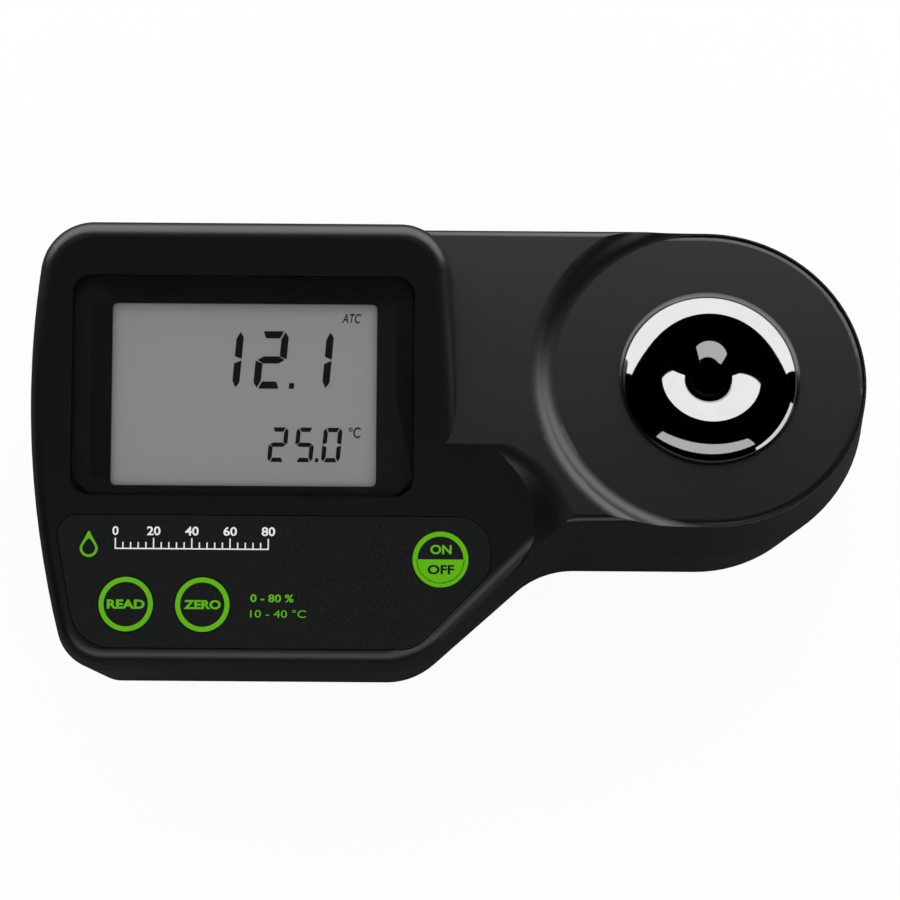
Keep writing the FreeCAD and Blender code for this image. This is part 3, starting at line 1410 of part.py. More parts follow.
def make_battery_cover():
    """Make the round battery cover with its lugs, and the seal on it."""
    inner = "cover_neck_radius - cover_neck_wall"
    points = [
        ("0", "cover_foot"),
        ("cover_radius - cover_edge_chamfer", "cover_foot"),
        ("cover_radius", "cover_foot + cover_edge_chamfer"),
        ("cover_radius", "cover_flange_top"),
        ("cover_neck_radius", "cover_flange_top"),
        ("cover_neck_radius", "cover_neck_top"),
        (inner, "cover_neck_top"),
        (inner, "cover_flange_top"),
        ("0", "cover_flange_top"),
    ]
    blank = place_round_cover(turned("cover_blank", points))
    lugs = []
    for index in range(LUG_COUNT):
        wedge = make("Part::Cylinder", f"lug_wedge_{index}", Radius="lug_radius", Height="lug_height",
                     Angle="lug_angle")
        place_round_cover(wedge, f"360 / {LUG_COUNT} * {index} - lug_angle / 2", "cover_neck_top - lug_height")
        core = cylinder(f"lug_core_{index}", "cover_neck_radius - cover_neck_wall / 2", "lug_height",
                        "cover_centre_x", "cover_centre_y", "cover_neck_top - lug_height")
        lugs.append(cut(f"lug_{index}", wedge, core))
    coin_slot = box("coin_slot", "coin_slot_length", "coin_slot_width", "coin_slot_depth", "cover_centre_x",
                    "cover_centre_y", "cover_foot")
    node("battery_cover", cut("battery_cover", fuse("cover_with_lugs", blank, *lugs), coin_slot))
    node("cover_seal", tube("cover_seal", "cover_seal_inner_radius", "cover_seal_outer_radius",
                            "cover_seal_height", "cover_centre_x", "cover_centre_y", "cover_flange_top"))


# Wires


def face_spot(x, v, depth):
    """Give the spot at x along the sloped face, v up its slope and a depth below it."""
    y = number(f"face_line_y + ({v}) * tilt_cos + ({depth}) * tilt_sin")
    z = number(f"face_line_z + ({v}) * tilt_sin - ({depth}) * tilt_cos")
    return FreeCAD.Vector(number(x), y, z)


def beam_spot(side, start, up="0", across="0"):
    """Give a spot along a light path, moved up its slope and across it."""
    x = number(f"head_x + {side} * (prism_face_x + ({start}) * beam_out + ({up}) * beam_down)")
    z = number(f"prism_face_z - ({start}) * beam_down + ({up}) * beam_out")
    return FreeCAD.Vector(x, number(f"head_y + ({across})"), z)


def soft_path(points):
    """Join points with straight runs and tangent arcs, each as large as its runs allow."""
    edges = []
    last = points[0]
    for before, corner, after in zip(points, points[1:], points[2:]):
        back, ahead = toward(corner, before), toward(corner, after)
        reach = ARC_SHARE * min((before - corner).Length, (after - corner).Length)
        start, end = corner + back * reach, corner + ahead * reach
        half = back.getAngle(ahead) / 2
        depth = reach / math.cos(half) - reach * math.tan(half)
        middle = corner + (back + ahead).normalize() * depth
        edges.append(Part.LineSegment(last, start).toShape())
        edges.append(Part.Arc(start, middle, end).toShape())
        last = end
    edges.append(Part.LineSegment(last, points[-1]).toShape())
    return Part.Wire(edges)


def sweep(name, points, corners):
    """Sweep a closed outline of corner points, or a circle of a given radius, along a path."""
    path = soft_path(points)
    if isinstance(corners, float):
        section = Part.Wire([Part.Circle(points[0], toward(points[0], points[1]), corners).toShape()])
    else:
        section = Part.makePolygon(corners + corners[:1])
    swept = document.addObject("Part::Feature", name)
    swept.Shape = path.makePipeShell([section], True, False)
    if abs(swept.Shape.Volume / (Part.Face(section).Area * path.Length) - 1) > VOLUME_SLACK:
        raise RuntimeError(f"wire {name} doesn't follow its path")
    return swept


def make_battery_leads():
    """Make the red and the black lead from the battery's snap to the main board."""
    x = number("(snap_left + snap_right) / 2")
    snap_top = number("battery_bottom + battery_height / 2 + snap_height / 2")
    ceiling = number("bay_ceiling + bay_wall + lead_radius")
    for name, row, side in (("black_lead", 0, -1), ("red_lead", 1, 1)):
        y = number(lead_rows()[row])
        end = face_spot(f"plug_x + {side} * plug_length / 4", "plug_v", "board_bottom + plug_height - lead_radius")
        points = [
            FreeCAD.Vector(x, y, snap_top),
            FreeCAD.Vector(x, y, ceiling),
            FreeCAD.Vector(end.x, end.y, end.z - value_of("lead_rise") / 2),
            end,
        ]
        wire = sweep(name + "_wire", points, value_of("lead_radius"))
        node(name, cut(name, wire, nodes["battery_connector"]))


def make_sensor_cable():
    """Make the flat cable from the main board to the sensor board."""
    start = face_spot("socket_x", "socket_v", "board_bottom + socket_height / 2")
    end = beam_spot(-1, "arm_reach + optics_board_thickness / 2")
    shelf = value_of("cable_shelf_height")
    points = [
        start,
        FreeCAD.Vector(start.x, start.y, shelf),
        FreeCAD.Vector(value_of("cable_turn_x"), start.y, shelf),
        FreeCAD.Vector(end.x, start.y, end.z),
    ]
    along = FreeCAD.Vector(0, value_of("cable_width"), 0)
    across = FreeCAD.Vector(value_of("cable_thickness"), 0, 0)
    first = start - along / 2 - across / 2
    ribbon = sweep("cable_ribbon", points, [first, first + across, first + across + along, first + along])
    node("sensor_cable", cut("sensor_cable", ribbon, nodes["cable_connector"], nodes["sensor_board"]))


def make_led_leads():
    """Make the pair of thin leads from the lamp's board to the sensor board."""
    leads = []
    low = value_of("led_lead_height")
    inward = value_of("arm_size") / 2
    for index, side in enumerate((-1, 1)):
        across = f"{side} * led_lead_spacing / 2"
        drop = "-1 * arm_size / 4"
        far = "arm_reach + optics_board_thickness + 2 * led_radius"
        out, back = beam_spot(1, far, across=across), beam_spot(-1, far, drop, across)
        points = [
            beam_spot(1, "arm_reach + optics_board_thickness / 2", across=across),
            out,
            FreeCAD.Vector(out.x - inward, out.y, low),
            FreeCAD.Vector(back.x + inward, back.y, low),
            back,
            beam_spot(-1, "arm_reach + optics_board_thickness / 2", drop, across),
        ]
        wire = sweep(f"led_wire_{index}", points, value_of("led_lead_radius"))
        leads.append(cut(f"led_lead_{index}", wire, nodes["led_board"], nodes["sensor_board"]))
    node("led_leads", separate("led_leads", leads))


# Checks and files


def check_document():
    """Stop if any object failed or any sub-part has no sound shape."""
    document.recompute()
    failed = [piece.Name for piece in document.Objects if {"Invalid", "Error"} & set(piece.State)]
    if failed:
        raise RuntimeError(f"objects failed: {failed}")
    for name, piece in nodes.items():
        if piece.Shape.isNull() or not piece.Shape.isValid() or not piece.Shape.Solids:
            raise RuntimeError(f"sub-part {name} has no sound shape")


def write_parts():
    """Write each sub-part to its own file."""
    os.makedirs("parts", exist_ok=True)
    for name, piece in nodes.items():
        piece.Shape.exportStep(f"parts/{name}.step")


FLATNESS = 0.01
ARC_SHARE = 0.45
VOLUME_SLACK = 0.02
LUG_COUNT = 3
CHIP_COUNT = 3

fill_sheets()
case_outline = draw_case_outline("case_outline")
sharp_outline = draw_case_outline("sharp_outline", True)
overlay_line = draw_overlay()
case_seal = make_case_seal()
make_upper_shell()
make_lower_shell()
make_case_screws()
make_feet()
make_display()
make_overlay()
make_keys()
make_main_board()
make_board_screws()
make_board_parts()
make_sample_well()
make_optics_housing()
make_optics()
make_well_screws()
make_battery()
make_battery_cover()
make_battery_leads()
make_sensor_cable()
make_led_leads()
check_document()
write_parts()
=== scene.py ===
"""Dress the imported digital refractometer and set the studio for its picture.

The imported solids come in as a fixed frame. Each class below dresses one sub-assembly, adds the pieces
that the solids leave out, such as the display's digits and the keypad's prints, and reports them.
"""

import logging
import math
from dataclasses import dataclass, field
from enum import Enum
from typing import Sequence

import bmesh
import bpy
from mathutils import Matrix, Vector


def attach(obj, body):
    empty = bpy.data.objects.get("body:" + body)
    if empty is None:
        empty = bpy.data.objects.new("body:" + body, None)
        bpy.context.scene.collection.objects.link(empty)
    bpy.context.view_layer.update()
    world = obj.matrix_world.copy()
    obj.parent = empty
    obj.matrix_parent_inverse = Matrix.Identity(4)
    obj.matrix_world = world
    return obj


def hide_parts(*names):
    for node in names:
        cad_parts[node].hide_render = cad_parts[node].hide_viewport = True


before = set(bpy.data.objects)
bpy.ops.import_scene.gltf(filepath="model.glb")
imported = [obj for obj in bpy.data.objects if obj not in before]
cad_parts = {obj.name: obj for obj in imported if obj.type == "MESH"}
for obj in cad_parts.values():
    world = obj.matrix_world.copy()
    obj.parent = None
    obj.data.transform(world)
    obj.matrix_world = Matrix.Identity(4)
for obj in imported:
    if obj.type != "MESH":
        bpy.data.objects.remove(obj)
log = logging.getLogger("refractometer")

MM = 0.001
Colour = tuple[float, float, float]
Spot = tuple[float, float]
Stops = Sequence[tuple[float, Colour]]
Socket = bpy.types.NodeSocket

# The range that holds most of a noise pattern
PATTERN_LOW = 0.3
PATTERN_HIGH = 0.7

# The share of a print's thickness that lies below the surface it is on
PRINT_SINK = 0.4

# Points of a new piece that are nearer than this, in metres, become one
MERGE = 1e-7


class Body(Enum):
    """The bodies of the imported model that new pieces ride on."""

    CASE = "case"
    READ = "read_button"
    ZERO = "zero_button"
    POWER = "power_button"


# Finishes


@dataclass
class Nodes:
    """A material's node tree with its shader, and short ways to add to it."""

    name: str
    material: bpy.types.Material = field(init=False)
    tree: bpy.types.NodeTree = field(init=False)
    shader: bpy.types.Node = field(init=False)
    where: Socket = field(init=False)

    def __post_init__(self) -> None:
        """Start the material with one shader, its output and object coordinates."""
        self.material = bpy.data.materials.new(self.name)
        self.material.use_nodes = True
        self.tree = self.material.node_tree
        self.tree.nodes.clear()
        output = self.add("OutputMaterial")
        self.shader = self.add("BsdfPrincipled")
        self.link(self.shader.outputs["BSDF"], output.inputs["Surface"])
        self.where = self.add("TexCoord").outputs["Object"]

    def add(self, kind: str) -> bpy.types.Node:
        """Add a node, named without the words that start every kind."""
        return self.tree.nodes.new(f"ShaderNode{kind}")

    def set(self, **values: float | Sequence[float]) -> None:
        """Set shader sockets to plain values.

        Args:
            values: Socket names in lower case, with underscores for spaces, and their values.
        """
        for key, value in values.items():
            socket = next(s for s in self.shader.inputs if s.name.lower().replace(" ", "_") == key)
            socket.default_value = (*value, 1.0) if isinstance(value, tuple) and len(value) == 3 else value

    def link(self, source: Socket, target: Socket) -> None:
        """Join two sockets."""
        self.tree.links.new(source, target)

    def placed(self, centre: Sequence[float] = (0, 0, 0), turn: Sequence[float] = (0, 0, 0),
               stretch: Sequence[float] = (1, 1, 1)) -> Socket:
        """Centre, turn and stretch the object coordinates.

        Args:
            centre: The point, in metres, that becomes the pattern's middle.
            turn: Angles in radians about X, Y and Z.
            stretch: How many times finer the pattern is along each axis.

        Returns:
            The socket with the new coordinates.
        """
        shift = self.add("VectorMath")
        shift.operation = "SUBTRACT"
        shift.inputs[1].default_value = centre
        self.link(self.where, shift.inputs[0])
        mapping = self.add("Mapping")
        mapping.vector_type = "POINT"
        mapping.inputs["Rotation"].default_value = turn
        mapping.inputs["Scale"].default_value = stretch
        self.link(shift.outputs[0], mapping.inputs["Vector"])
        return mapping.outputs[0]

    def noise(self, size: float, detail: float = 2.0) -> Socket:
        """Add a noise pattern.

        Args:
            size: The size of its largest blots, in metres.
            detail: How many finer layers it has.

        Returns:
            The socket with the pattern's height, from 0 to 1.
        """
        texture = self.add("TexNoise")
        texture.inputs["Scale"].default_value = 1.0 / size
        texture.inputs["Detail"].default_value = detail
        self.link(self.where, texture.inputs["Vector"])
        return texture.outputs["Fac"]

    def bands(self, pitch: float, where: Socket) -> Socket:
        """Add even bands along X.

        Args:
            pitch: The distance between two bands, in metres.
            where: The coordinates that the pattern reads.

        Returns:
            The socket with the pattern's height, from 0 to 1.
        """
        texture = self.add("TexWave")
        texture.inputs["Scale"].default_value = math.tau / (20.0 * pitch)
        self.link(where, texture.inputs["Vector"])
        return texture.outputs["Fac"]

    def ramp(self, source: Socket, stops: Stops, sharp: bool = False) -> Socket:
        """Turn a pattern into colours.

        Args:
            source: The pattern, from 0 to 1.
            stops: Places from 0 to 1 and their colours.
            sharp: True for colours that meet at an edge.

        Returns:
            The socket with the colour.
        """
        node = self.add("ValToRGB")
        node.color_ramp.interpolation = "CONSTANT" if sharp else "LINEAR"
        while len(node.color_ramp.elements) < len(stops):
            node.color_ramp.elements.new(1.0)
        for element, (place, colour) in zip(node.color_ramp.elements, stops):
            element.position = place
            element.color = (*colour, 1.0)
        self.link(source, node.inputs["Fac"])
        return node.outputs["Color"]

    def spread(self, source: Socket, low: float, high: float, start: float = PATTERN_LOW,
               end: float = PATTERN_HIGH) -> Socket:
        """Stretch a pattern's middle range to run from low to high.

        Args:
            source: The pattern, from 0 to 1.
            low: The value at and below start.
            high: The value at and above end.
            start: The pattern's value that gives low.
            end: The pattern's value that gives high.

        Returns:
            The socket with the new value.
        """
        node = self.add("MapRange")
        for key, value in (("From Min", start), ("From Max", end), ("To Min", low), ("To Max", high)):
            node.inputs[key].default_value = value
        self.link(source, node.inputs["Value"])
        return node.outputs["Result"]

    def paint(self, pattern: Socket, stops: Stops, sharp: bool = False) -> None:
        """Colour the surface by a pattern.

        Args:
            pattern: The pattern, from 0 to 1.
            stops: Places from 0 to 1 and their colours.
            sharp: True for colours that meet at an edge.
        """
        self.link(self.ramp(pattern, stops, sharp), self.shader.inputs["Base Color"])

    def tone(self, pattern: Socket, low: Colour, high: Colour) -> None:
        """Colour the surface from one colour to another over a pattern's middle range.

        Args:
            pattern: The pattern, from 0 to 1.
            low: The colour at the pattern's low places.
            high: The colour at its high places.
        """
        self.paint(pattern, ((PATTERN_LOW, low), (PATTERN_HIGH, high)))

    def polish(self, pattern: Socket, low: float, high: float) -> None:
        """Set the surface's roughness by a pattern.

        Args:
            pattern: The pattern, from 0 to 1.
            low: The roughness at the pattern's low places.
            high: The roughness at its high places.
        """
        self.link(self.spread(pattern, low, high), self.shader.inputs["Roughness"])

    def relief(self, height: Socket, depth: float) -> None:
        """Raise and sink the surface by a pattern.

        Args:
            height: The pattern, from 0 to 1.
            depth: The relief's depth in metres.
        """
        bump = self.add("Bump")
        bump.inputs["Distance"].default_value = depth
        self.link(height, bump.inputs["Height"])
        self.link(bump.outputs["Normal"], self.shader.inputs["Normal"])

    def along(self, axis: str) -> Socket:
        """Give the object coordinate along one axis, named X, Y or Z."""
        split = self.add("SeparateXYZ")
        self.link(self.where, split.inputs[0])
        return split.outputs[axis]


def shade(colour: Colour, factor: float) -> Colour:
    """Give a colour a factor lighter or darker."""
    return tuple(min(1.0, channel * factor) for channel in colour)


@dataclass(frozen=True)
class Finish:
    """A look that can be built as a material."""

    name: str

    def fill(self, nodes: Nodes) -> None:
        """Set the material's nodes.

        Args:
            nodes: The material's node tree, with its shader.
        """
        raise NotImplementedError

    def material(self) -> bpy.types.Material:
        """Build the material."""
        nodes = Nodes(self.name)
        self.fill(nodes)
        return nodes.material


@dataclass(frozen=True)
class MouldedPlastic(Finish):
    """Moulded plastic with the fine even grain of a spark-eroded mould."""

    colour: Colour
    roughness: float = 0.4
    grain: float = 0.16 * MM
    depth: float = 0.004 * MM
    drift: float = 0.18
    gloss: float = 0.5
    ior: float = 1.5

    def fill(self, nodes: Nodes) -> None:
        """Set the material's nodes."""
        cloud = nodes.noise(26 * MM, 3)
        nodes.tone(cloud, shade(self.colour, 1 - self.drift), shade(self.colour, 1 + self.drift))
        grain = nodes.noise(self.grain)
        nodes.polish(grain, self.roughness - 0.035, self.roughness + 0.035)
        nodes.relief(grain, self.depth)
        nodes.set(specular_ior_level=self.gloss, ior=self.ior)


@dataclass(frozen=True)
class PrintedFilm(Finish):
    """Textured polyester film with a fine pale fleck."""

    colour: Colour
    fleck: Colour
    roughness: float = 0.5
    grain: float = 0.22 * MM

    def fill(self, nodes: Nodes) -> None:
        """Set the material's nodes."""
        flecks = nodes.noise(self.grain, 1)
        nodes.paint(flecks, ((0.42, shade(self.colour, 0.75)), (0.55, self.colour), (0.74, self.fleck)))
        nodes.polish(flecks, self.roughness - 0.06, self.roughness + 0.06)
        nodes.relief(flecks, 0.012 * MM)


@dataclass(frozen=True)
class PrintInk(Finish):
    """Screen-printed ink, a touch uneven where the screen left it."""

    colour: Colour
    roughness: float = 0.5
    gloss: float = 0.12

    def fill(self, nodes: Nodes) -> None:
        """Set the material's nodes."""
        screen = nodes.noise(0.25 * MM)
        nodes.tone(screen, shade(self.colour, 0.9), shade(self.colour, 1.05))
        nodes.polish(screen, self.roughness, self.roughness + 0.08)
        nodes.relief(screen, 0.003 * MM)
        nodes.set(specular_ior_level=self.gloss)


@dataclass(frozen=True)
class ClearPane(Finish):
    """A clear, lightly hard-coated plastic pane."""

    tint: Colour
    cover: float

    def fill(self, nodes: Nodes) -> None:
        """Set the material's nodes."""
        haze = nodes.noise(9 * MM, 3)
        nodes.tone(haze, shade(self.tint, 0.8), self.tint)
        nodes.polish(haze, 0.05, 0.09)
        nodes.set(alpha=self.cover, ior=1.9)


@dataclass(frozen=True)
class ClearGlass(Finish):
    """Polished optical glass or clear epoxy."""

    colour: Colour
    ior: float
    roughness: float = 0.01

    def fill(self, nodes: Nodes) -> None:
        """Set the material's nodes."""
        veil = nodes.noise(3 * MM)
        nodes.tone(veil, shade(self.colour, 0.97), self.colour)
        nodes.polish(veil, self.roughness, self.roughness + 0.02)
        nodes.set(transmission_weight=1.0, ior=self.ior)


@dataclass(frozen=True)
class LiquidCrystal(Finish):
    """A reflective display's grey polariser, with painted shade that changes its grey a little along Y, from
    the back colour to the front colour.
    """

    back: Colour
    front: Colour
    middle_y: float
    reach: float

    def fill(self, nodes: Nodes) -> None:
        """Set the material's nodes."""
        start, end = self.middle_y - self.reach, self.middle_y + self.reach
        # Painted shade: the grey runs from the front colour near the front edge to the back colour near the
        # back edge, standing in for how light falls across the glass.
        slope = nodes.spread(nodes.along("Y"), 1.0, 0.0, start, end)
        mottle = nodes.spread(nodes.noise(0.35 * MM, 3), -0.12, 0.12)
        total = nodes.add("Math")
        total.operation = "ADD"
        nodes.link(slope, total.inputs[0])
        nodes.link(mottle, total.inputs[1])
        nodes.paint(total.outputs[0], ((0.0, self.back), (1.0, self.front)))
        nodes.polish(nodes.noise(0.4 * MM), 0.45, 0.55)


@dataclass(frozen=True)
class TurnedSteel(Finish):
    """Polished stainless steel with faint lines from the lathe."""

    colour: Colour
    centre: Spot
    roughness: float

    def fill(self, nodes: Nodes) -> None:
        """Set the material's nodes."""
        wipe = nodes.noise(6 * MM, 3)
        nodes.tone(wipe, shade(self.colour, 0.95), self.colour)
        length = nodes.add("VectorMath")
        length.operation = "LENGTH"
        nodes.link(nodes.placed((*self.centre, 0.0), stretch=(1, 1, 0)), length.inputs[0])
        lines = nodes.add("TexNoise")
        lines.noise_dimensions = "1D"
        lines.inputs["Scale"].default_value = 1 / (0.35 * MM)
        lines.inputs["Detail"].default_value = 4
        nodes.link(length.outputs["Value"], lines.inputs["W"])
        nodes.polish(wipe, self.roughness, self.roughness + 0.025)
        nodes.relief(lines.outputs["Fac"], 0.0004 * MM)
        nodes.set(metallic=1.0)


@dataclass(frozen=True)
class PlatedSteel(Finish):
    """Small plated steel hardware."""

    colour: Colour
    roughness: float = 0.28

    def fill(self, nodes: Nodes) -> None:
        """Set the material's nodes."""
        stain = nodes.noise(1.5 * MM, 4)
        nodes.tone(stain, shade(self.colour, 0.8), self.colour)
        nodes.polish(stain, self.roughness, self.roughness + 0.12)
        nodes.relief(nodes.noise(0.2 * MM), 0.003 * MM)
        nodes.set(metallic=1.0)


@dataclass(frozen=True)
class SoftRubber(Finish):
    """Matte moulded rubber with a powdery bloom."""

    colour: Colour
    roughness: float = 0.75

    def fill(self, nodes: Nodes) -> None:
        """Set the material's nodes."""
        bloom = nodes.noise(4 * MM, 4)
        nodes.paint(bloom, ((0.3, self.colour), (0.75, shade(self.colour, 1.5))))
        nodes.polish(bloom, self.roughness - 0.08, self.roughness)
        nodes.relief(nodes.noise(0.3 * MM, 3), 0.02 * MM)


@dataclass(frozen=True)
class StripedMaterial(Finish):
    """A flat cable or a layered rubber strip: even bands of two colours."""

    colours: tuple[Colour, Colour]
    pitch: float
    turn: float
    roughness: float

    def fill(self, nodes: Nodes) -> None:
        """Set the material's nodes."""
        stripes = nodes.bands(self.pitch, nodes.placed(turn=(0, 0, self.turn)))
        first, second = self.colours
        nodes.paint(stripes, ((0.45, first), (0.6, second)))
        nodes.polish(stripes, self.roughness, self.roughness + 0.1)
        nodes.relief(stripes, 0.03 * MM)


@dataclass(frozen=True)
class CircuitBoard(Finish):
    """Green solder mask over a field of fine tracks."""

    mask: Colour
    track: Colour
    turn: float = 0.0

    def fill(self, nodes: Nodes) -> None:
        """Set the material's nodes."""
        bricks = nodes.add("TexBrick")
        bricks.inputs["Scale"].default_value = 1 / (9 * MM)
        bricks.inputs["Mortar Size"].default_value = 0.035
        bricks.inputs["Mortar Smooth"].default_value = 0.2
        nodes.link(nodes.placed(turn=(self.turn, 0, 0)), bricks.inputs["Vector"])
        nodes.paint(bricks.outputs["Fac"], ((0.2, self.mask), (0.8, self.track)))
        nodes.polish(nodes.noise(5 * MM), 0.28, 0.36)
        nodes.relief(bricks.outputs["Fac"], 0.03 * MM)


@dataclass(frozen=True)
class CellJacket(Finish):
    """A block battery's printed steel jacket in two plain colours, with a metal end."""

    body: Colour
    band: Colour
    split_x: float
    reach: float

    def fill(self, nodes: Nodes) -> None:
        """Set the material's nodes."""
        start, end = self.split_x - self.reach, self.split_x + self.reach
        share = nodes.spread(nodes.along("X"), 0.0, 1.0, start, end)
        steel = (0.6, 0.6, 0.58)
        nodes.paint(share, ((0.0, self.body), (0.62, self.band), (0.96, steel)), sharp=True)
        nodes.polish(nodes.noise(3 * MM, 3), 0.25, 0.35)
        nodes.relief(nodes.noise(1.5 * MM), 0.01 * MM)
        nodes.set(metallic=0.4)


@dataclass(frozen=True)
class OpenFoam(Finish):
    """Soft foam with open cells, their hollows darkened with painted shade."""

    colour: Colour

    def fill(self, nodes: Nodes) -> None:
        """Set the material's nodes."""
        cells = nodes.add("TexVoronoi")
        cells.inputs["Scale"].default_value = 1 / (0.5 * MM)
        nodes.link(nodes.where, cells.inputs["Vector"])
        # Painted shade: the colour darkens to 0.4 times its own towards each cell's middle, where the bump
        # sinks the surface.
        nodes.paint(cells.outputs["Distance"], ((0.1, shade(self.colour, 0.4)), (0.6, self.colour)))
        nodes.relief(cells.outputs["Distance"], 0.15 * MM)
        nodes.set(roughness=0.95)


def dress(names: Sequence[str], finish: Finish) -> None:
    """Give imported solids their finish.

    Args:
        names: The solids' names.
        finish: The finish for all their surfaces.
    """
    material = finish.material()
    for name in names:
        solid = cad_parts[name]
        if not solid.material_slots:
            solid.data.materials.append(material)
        for slot in solid.material_slots:
            slot.material = material
        log.info("dressed %s in %s", name, material.name)


# Shapes


@dataclass(frozen=True)
class SlopedFace:
    """The plane of the display block's sloped face, in millimetres and degrees."""

    line_y: float = -4.0
    line_z: float = 53.7
    tilt: float = 16.0

    def matrix(self, x: float, v: float, depth: float) -> Matrix:
        """Place a flat drawing on the face.

        Args:
            x: The drawing's middle along the face's length.
            v: The drawing's middle up the slope.
            depth: How far below the face the drawing lies.

        Returns:
            The matrix that takes the drawing, in metres, to its place.
        """
        tilt = math.radians(self.tilt)
        up_slope = Vector((0, math.cos(tilt), math.sin(tilt)))
        outward = Vector((0, -math.sin(tilt), math.cos(tilt)))
        spot = Vector((x, self.line_y, self.line_z)) + v * up_slope - depth * outward
        return Matrix.Translation(spot * MM) @ Matrix.Rotation(tilt, 4, "X")


FACE = SlopedFace()


def finished(name: str, shape: bmesh.types.BMesh, place: Matrix, finish: bpy.types.Material, body: Body,
             smooth: bool = False) -> bpy.types.Object:
    """Turn a bmesh into a piece that stands at the origin and rides on a body.

    Args:
        name: The piece's name.
        shape: The mesh, which is freed.
        place: The matrix that takes the mesh to its place.
        finish: The piece's material.
        body: The body it rides on.
        smooth: True for smooth shading.

    Returns:
        The new object.
    """
    bmesh.ops.remove_doubles(shape, verts=shape.verts, dist=MERGE)
    bmesh.ops.transform(shape, matrix=place, verts=shape.verts)
    bmesh.ops.recalc_face_normals(shape, faces=shape.faces)
    mesh = bpy.data.meshes.new(name)
    for face in shape.faces:
        face.smooth = smooth
    shape.to_mesh(mesh)
    shape.free()
    mesh.materials.append(finish)
    piece = bpy.data.objects.new(name, mesh)
    bpy.context.scene.collection.objects.link(piece)
    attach(piece, body.value)
    log.info("%s: %d faces on %s", name, len(mesh.polygons), body.value)
    return piece


def raise_flat(shape: bmesh.types.BMesh, height: float) -> None:
    """Give a flat mesh in the XY plane a thickness upwards.

    Args:
        shape: The mesh.
        height: Its thickness in metres.
    """
    result = bmesh.ops.extrude_face_region(shape, geom=list(shape.faces), use_keep_orig=True)
    top = [item for item in result["geom"] if isinstance(item, bmesh.types.BMVert)]
    bmesh.ops.translate(shape, vec=(0, 0, height), verts=top)


def disc(radius: float, height: float, segments: int = 96) -> bmesh.types.BMesh:
    """Make a thin disc about the origin.

    Args:
        radius: Its radius in millimetres.
        height: Its thickness in millimetres.
        segments: How many sides it has.

    Returns:
        The mesh.
    """
    shape = bmesh.new()
    bmesh.ops.create_circle(shape, cap_ends=True, radius=radius * MM, segments=segments)
    raise_flat(shape, height * MM)
    return shape


def annulus(inner: float, outer: float, height: float, segments: int = 128) -> bmesh.types.BMesh:
    """Make a thin flat ring about the origin.

    Args:
        inner: Its inner radius in millimetres.
        outer: Its outer radius in millimetres.
        height: Its thickness in millimetres.
        segments: How many sides it has.

    Returns:
        The mesh.
    """
    shape = bmesh.new()
    for radius in (inner, outer):
        bmesh.ops.create_circle(shape, radius=radius * MM, segments=segments)
    bmesh.ops.bridge_loops(shape, edges=shape.edges)
    raise_flat(shape, height * MM)
    return shape


def plate(corners: Sequence[Spot], height: float, rounding: float = 0.0) -> bmesh.types.BMesh:
    """Make a thin plate from a few corners.

    Args:
        corners: The corners in millimetres, in turn.
        height: The plate's thickness in millimetres.
        rounding: How far each corner is rounded, in millimetres.

    Returns:
        The mesh.
    """
    shape = bmesh.new()
    shape.faces.new([shape.verts.new((x * MM, y * MM, 0)) for x, y in corners])
    if rounding:
        bmesh.ops.bevel(shape, geom=list(shape.verts), offset=rounding * MM, offset_type="OFFSET", segments=3,
                        profile=0.5, affect="VERTICES", material=-1)
    raise_flat(shape, height * MM)
    return shape


def joined(shapes: Sequence[bmesh.types.BMesh]) -> bmesh.types.BMesh:
    """Put several meshes into one and free them.

    Args:
        shapes: The meshes.

    Returns:
        The one mesh.
    """
    whole = bmesh.new()
    for shape in shapes:
        mesh = bpy.data.meshes.new("joined")
        shape.to_mesh(mesh)
        shape.free()
        whole.from_mesh(mesh)
        bpy.data.meshes.remove(mesh)
    return whole


def moved(shape: bmesh.types.BMesh, x: float, y: float, z: float = 0.0) -> bmesh.types.BMesh:
    """Move a mesh by millimetres.

    Args:
        shape: The mesh.
        x: The move along X.
        y: The move along Y.
        z: The move along Z.

    Returns:
        The same mesh.
    """
    bmesh.ops.translate(shape, vec=(x * MM, y * MM, z * MM), verts=shape.verts)
    return shape


@dataclass(frozen=True)
class Lettering:
    """A line of plain letters with a set height and width, in millimetres."""

    words: str
    cap_height: float
    width: float
    weight: float = 0.0
    lean: float = 0.0
    thickness: float = 0.03

    def shape(self) -> bmesh.types.BMesh:
        """Make the letters about the origin.

        Returns:
            The mesh, as high and wide as the fields say.
        """
        curve = bpy.data.curves.new("letters", "FONT")
        curve.body = self.words
        curve.offset = self.weight
        curve.shear = self.lean
        curve.resolution_u = 4
        curve.extrude = 0.05
        holder = bpy.data.objects.new("letters", curve)
        bpy.context.scene.collection.objects.link(holder)
        bpy.context.view_layer.update()
        mesh = bpy.data.meshes.new_from_object(holder)
        shape = bmesh.new()
        shape.from_mesh(mesh)
        bpy.data.meshes.remove(mesh)
        bpy.data.objects.remove(holder)
        bpy.data.curves.remove(curve)
        bmesh.ops.remove_doubles(shape, verts=shape.verts, dist=1e-5)
        low = Vector([min(vert.co[axis] for vert in shape.verts) for axis in range(3)])
        high = Vector([max(vert.co[axis] for vert in shape.verts) for axis in range(3)])
        shift = (-(low.x + high.x) / 2, -(low.y + high.y) / 2, -low.z)
        bmesh.ops.translate(shape, vec=shift, verts=shape.verts)
        span = high - low
        size = (self.width * MM / span.x, self.cap_height * MM / span.y, self.thickness * MM / span.z)
        bmesh.ops.scale(shape, vec=size, verts=shape.verts)
        return shape


# Display


class Segment(Enum):
    """The seven bars of a digit."""

    TOP = "top"
    RIGHT_TOP = "right top"
    RIGHT_BOTTOM = "right bottom"
    BOTTOM = "bottom"
    LEFT_BOTTOM = "left bottom"
    LEFT_TOP = "left top"
    MIDDLE = "middle"


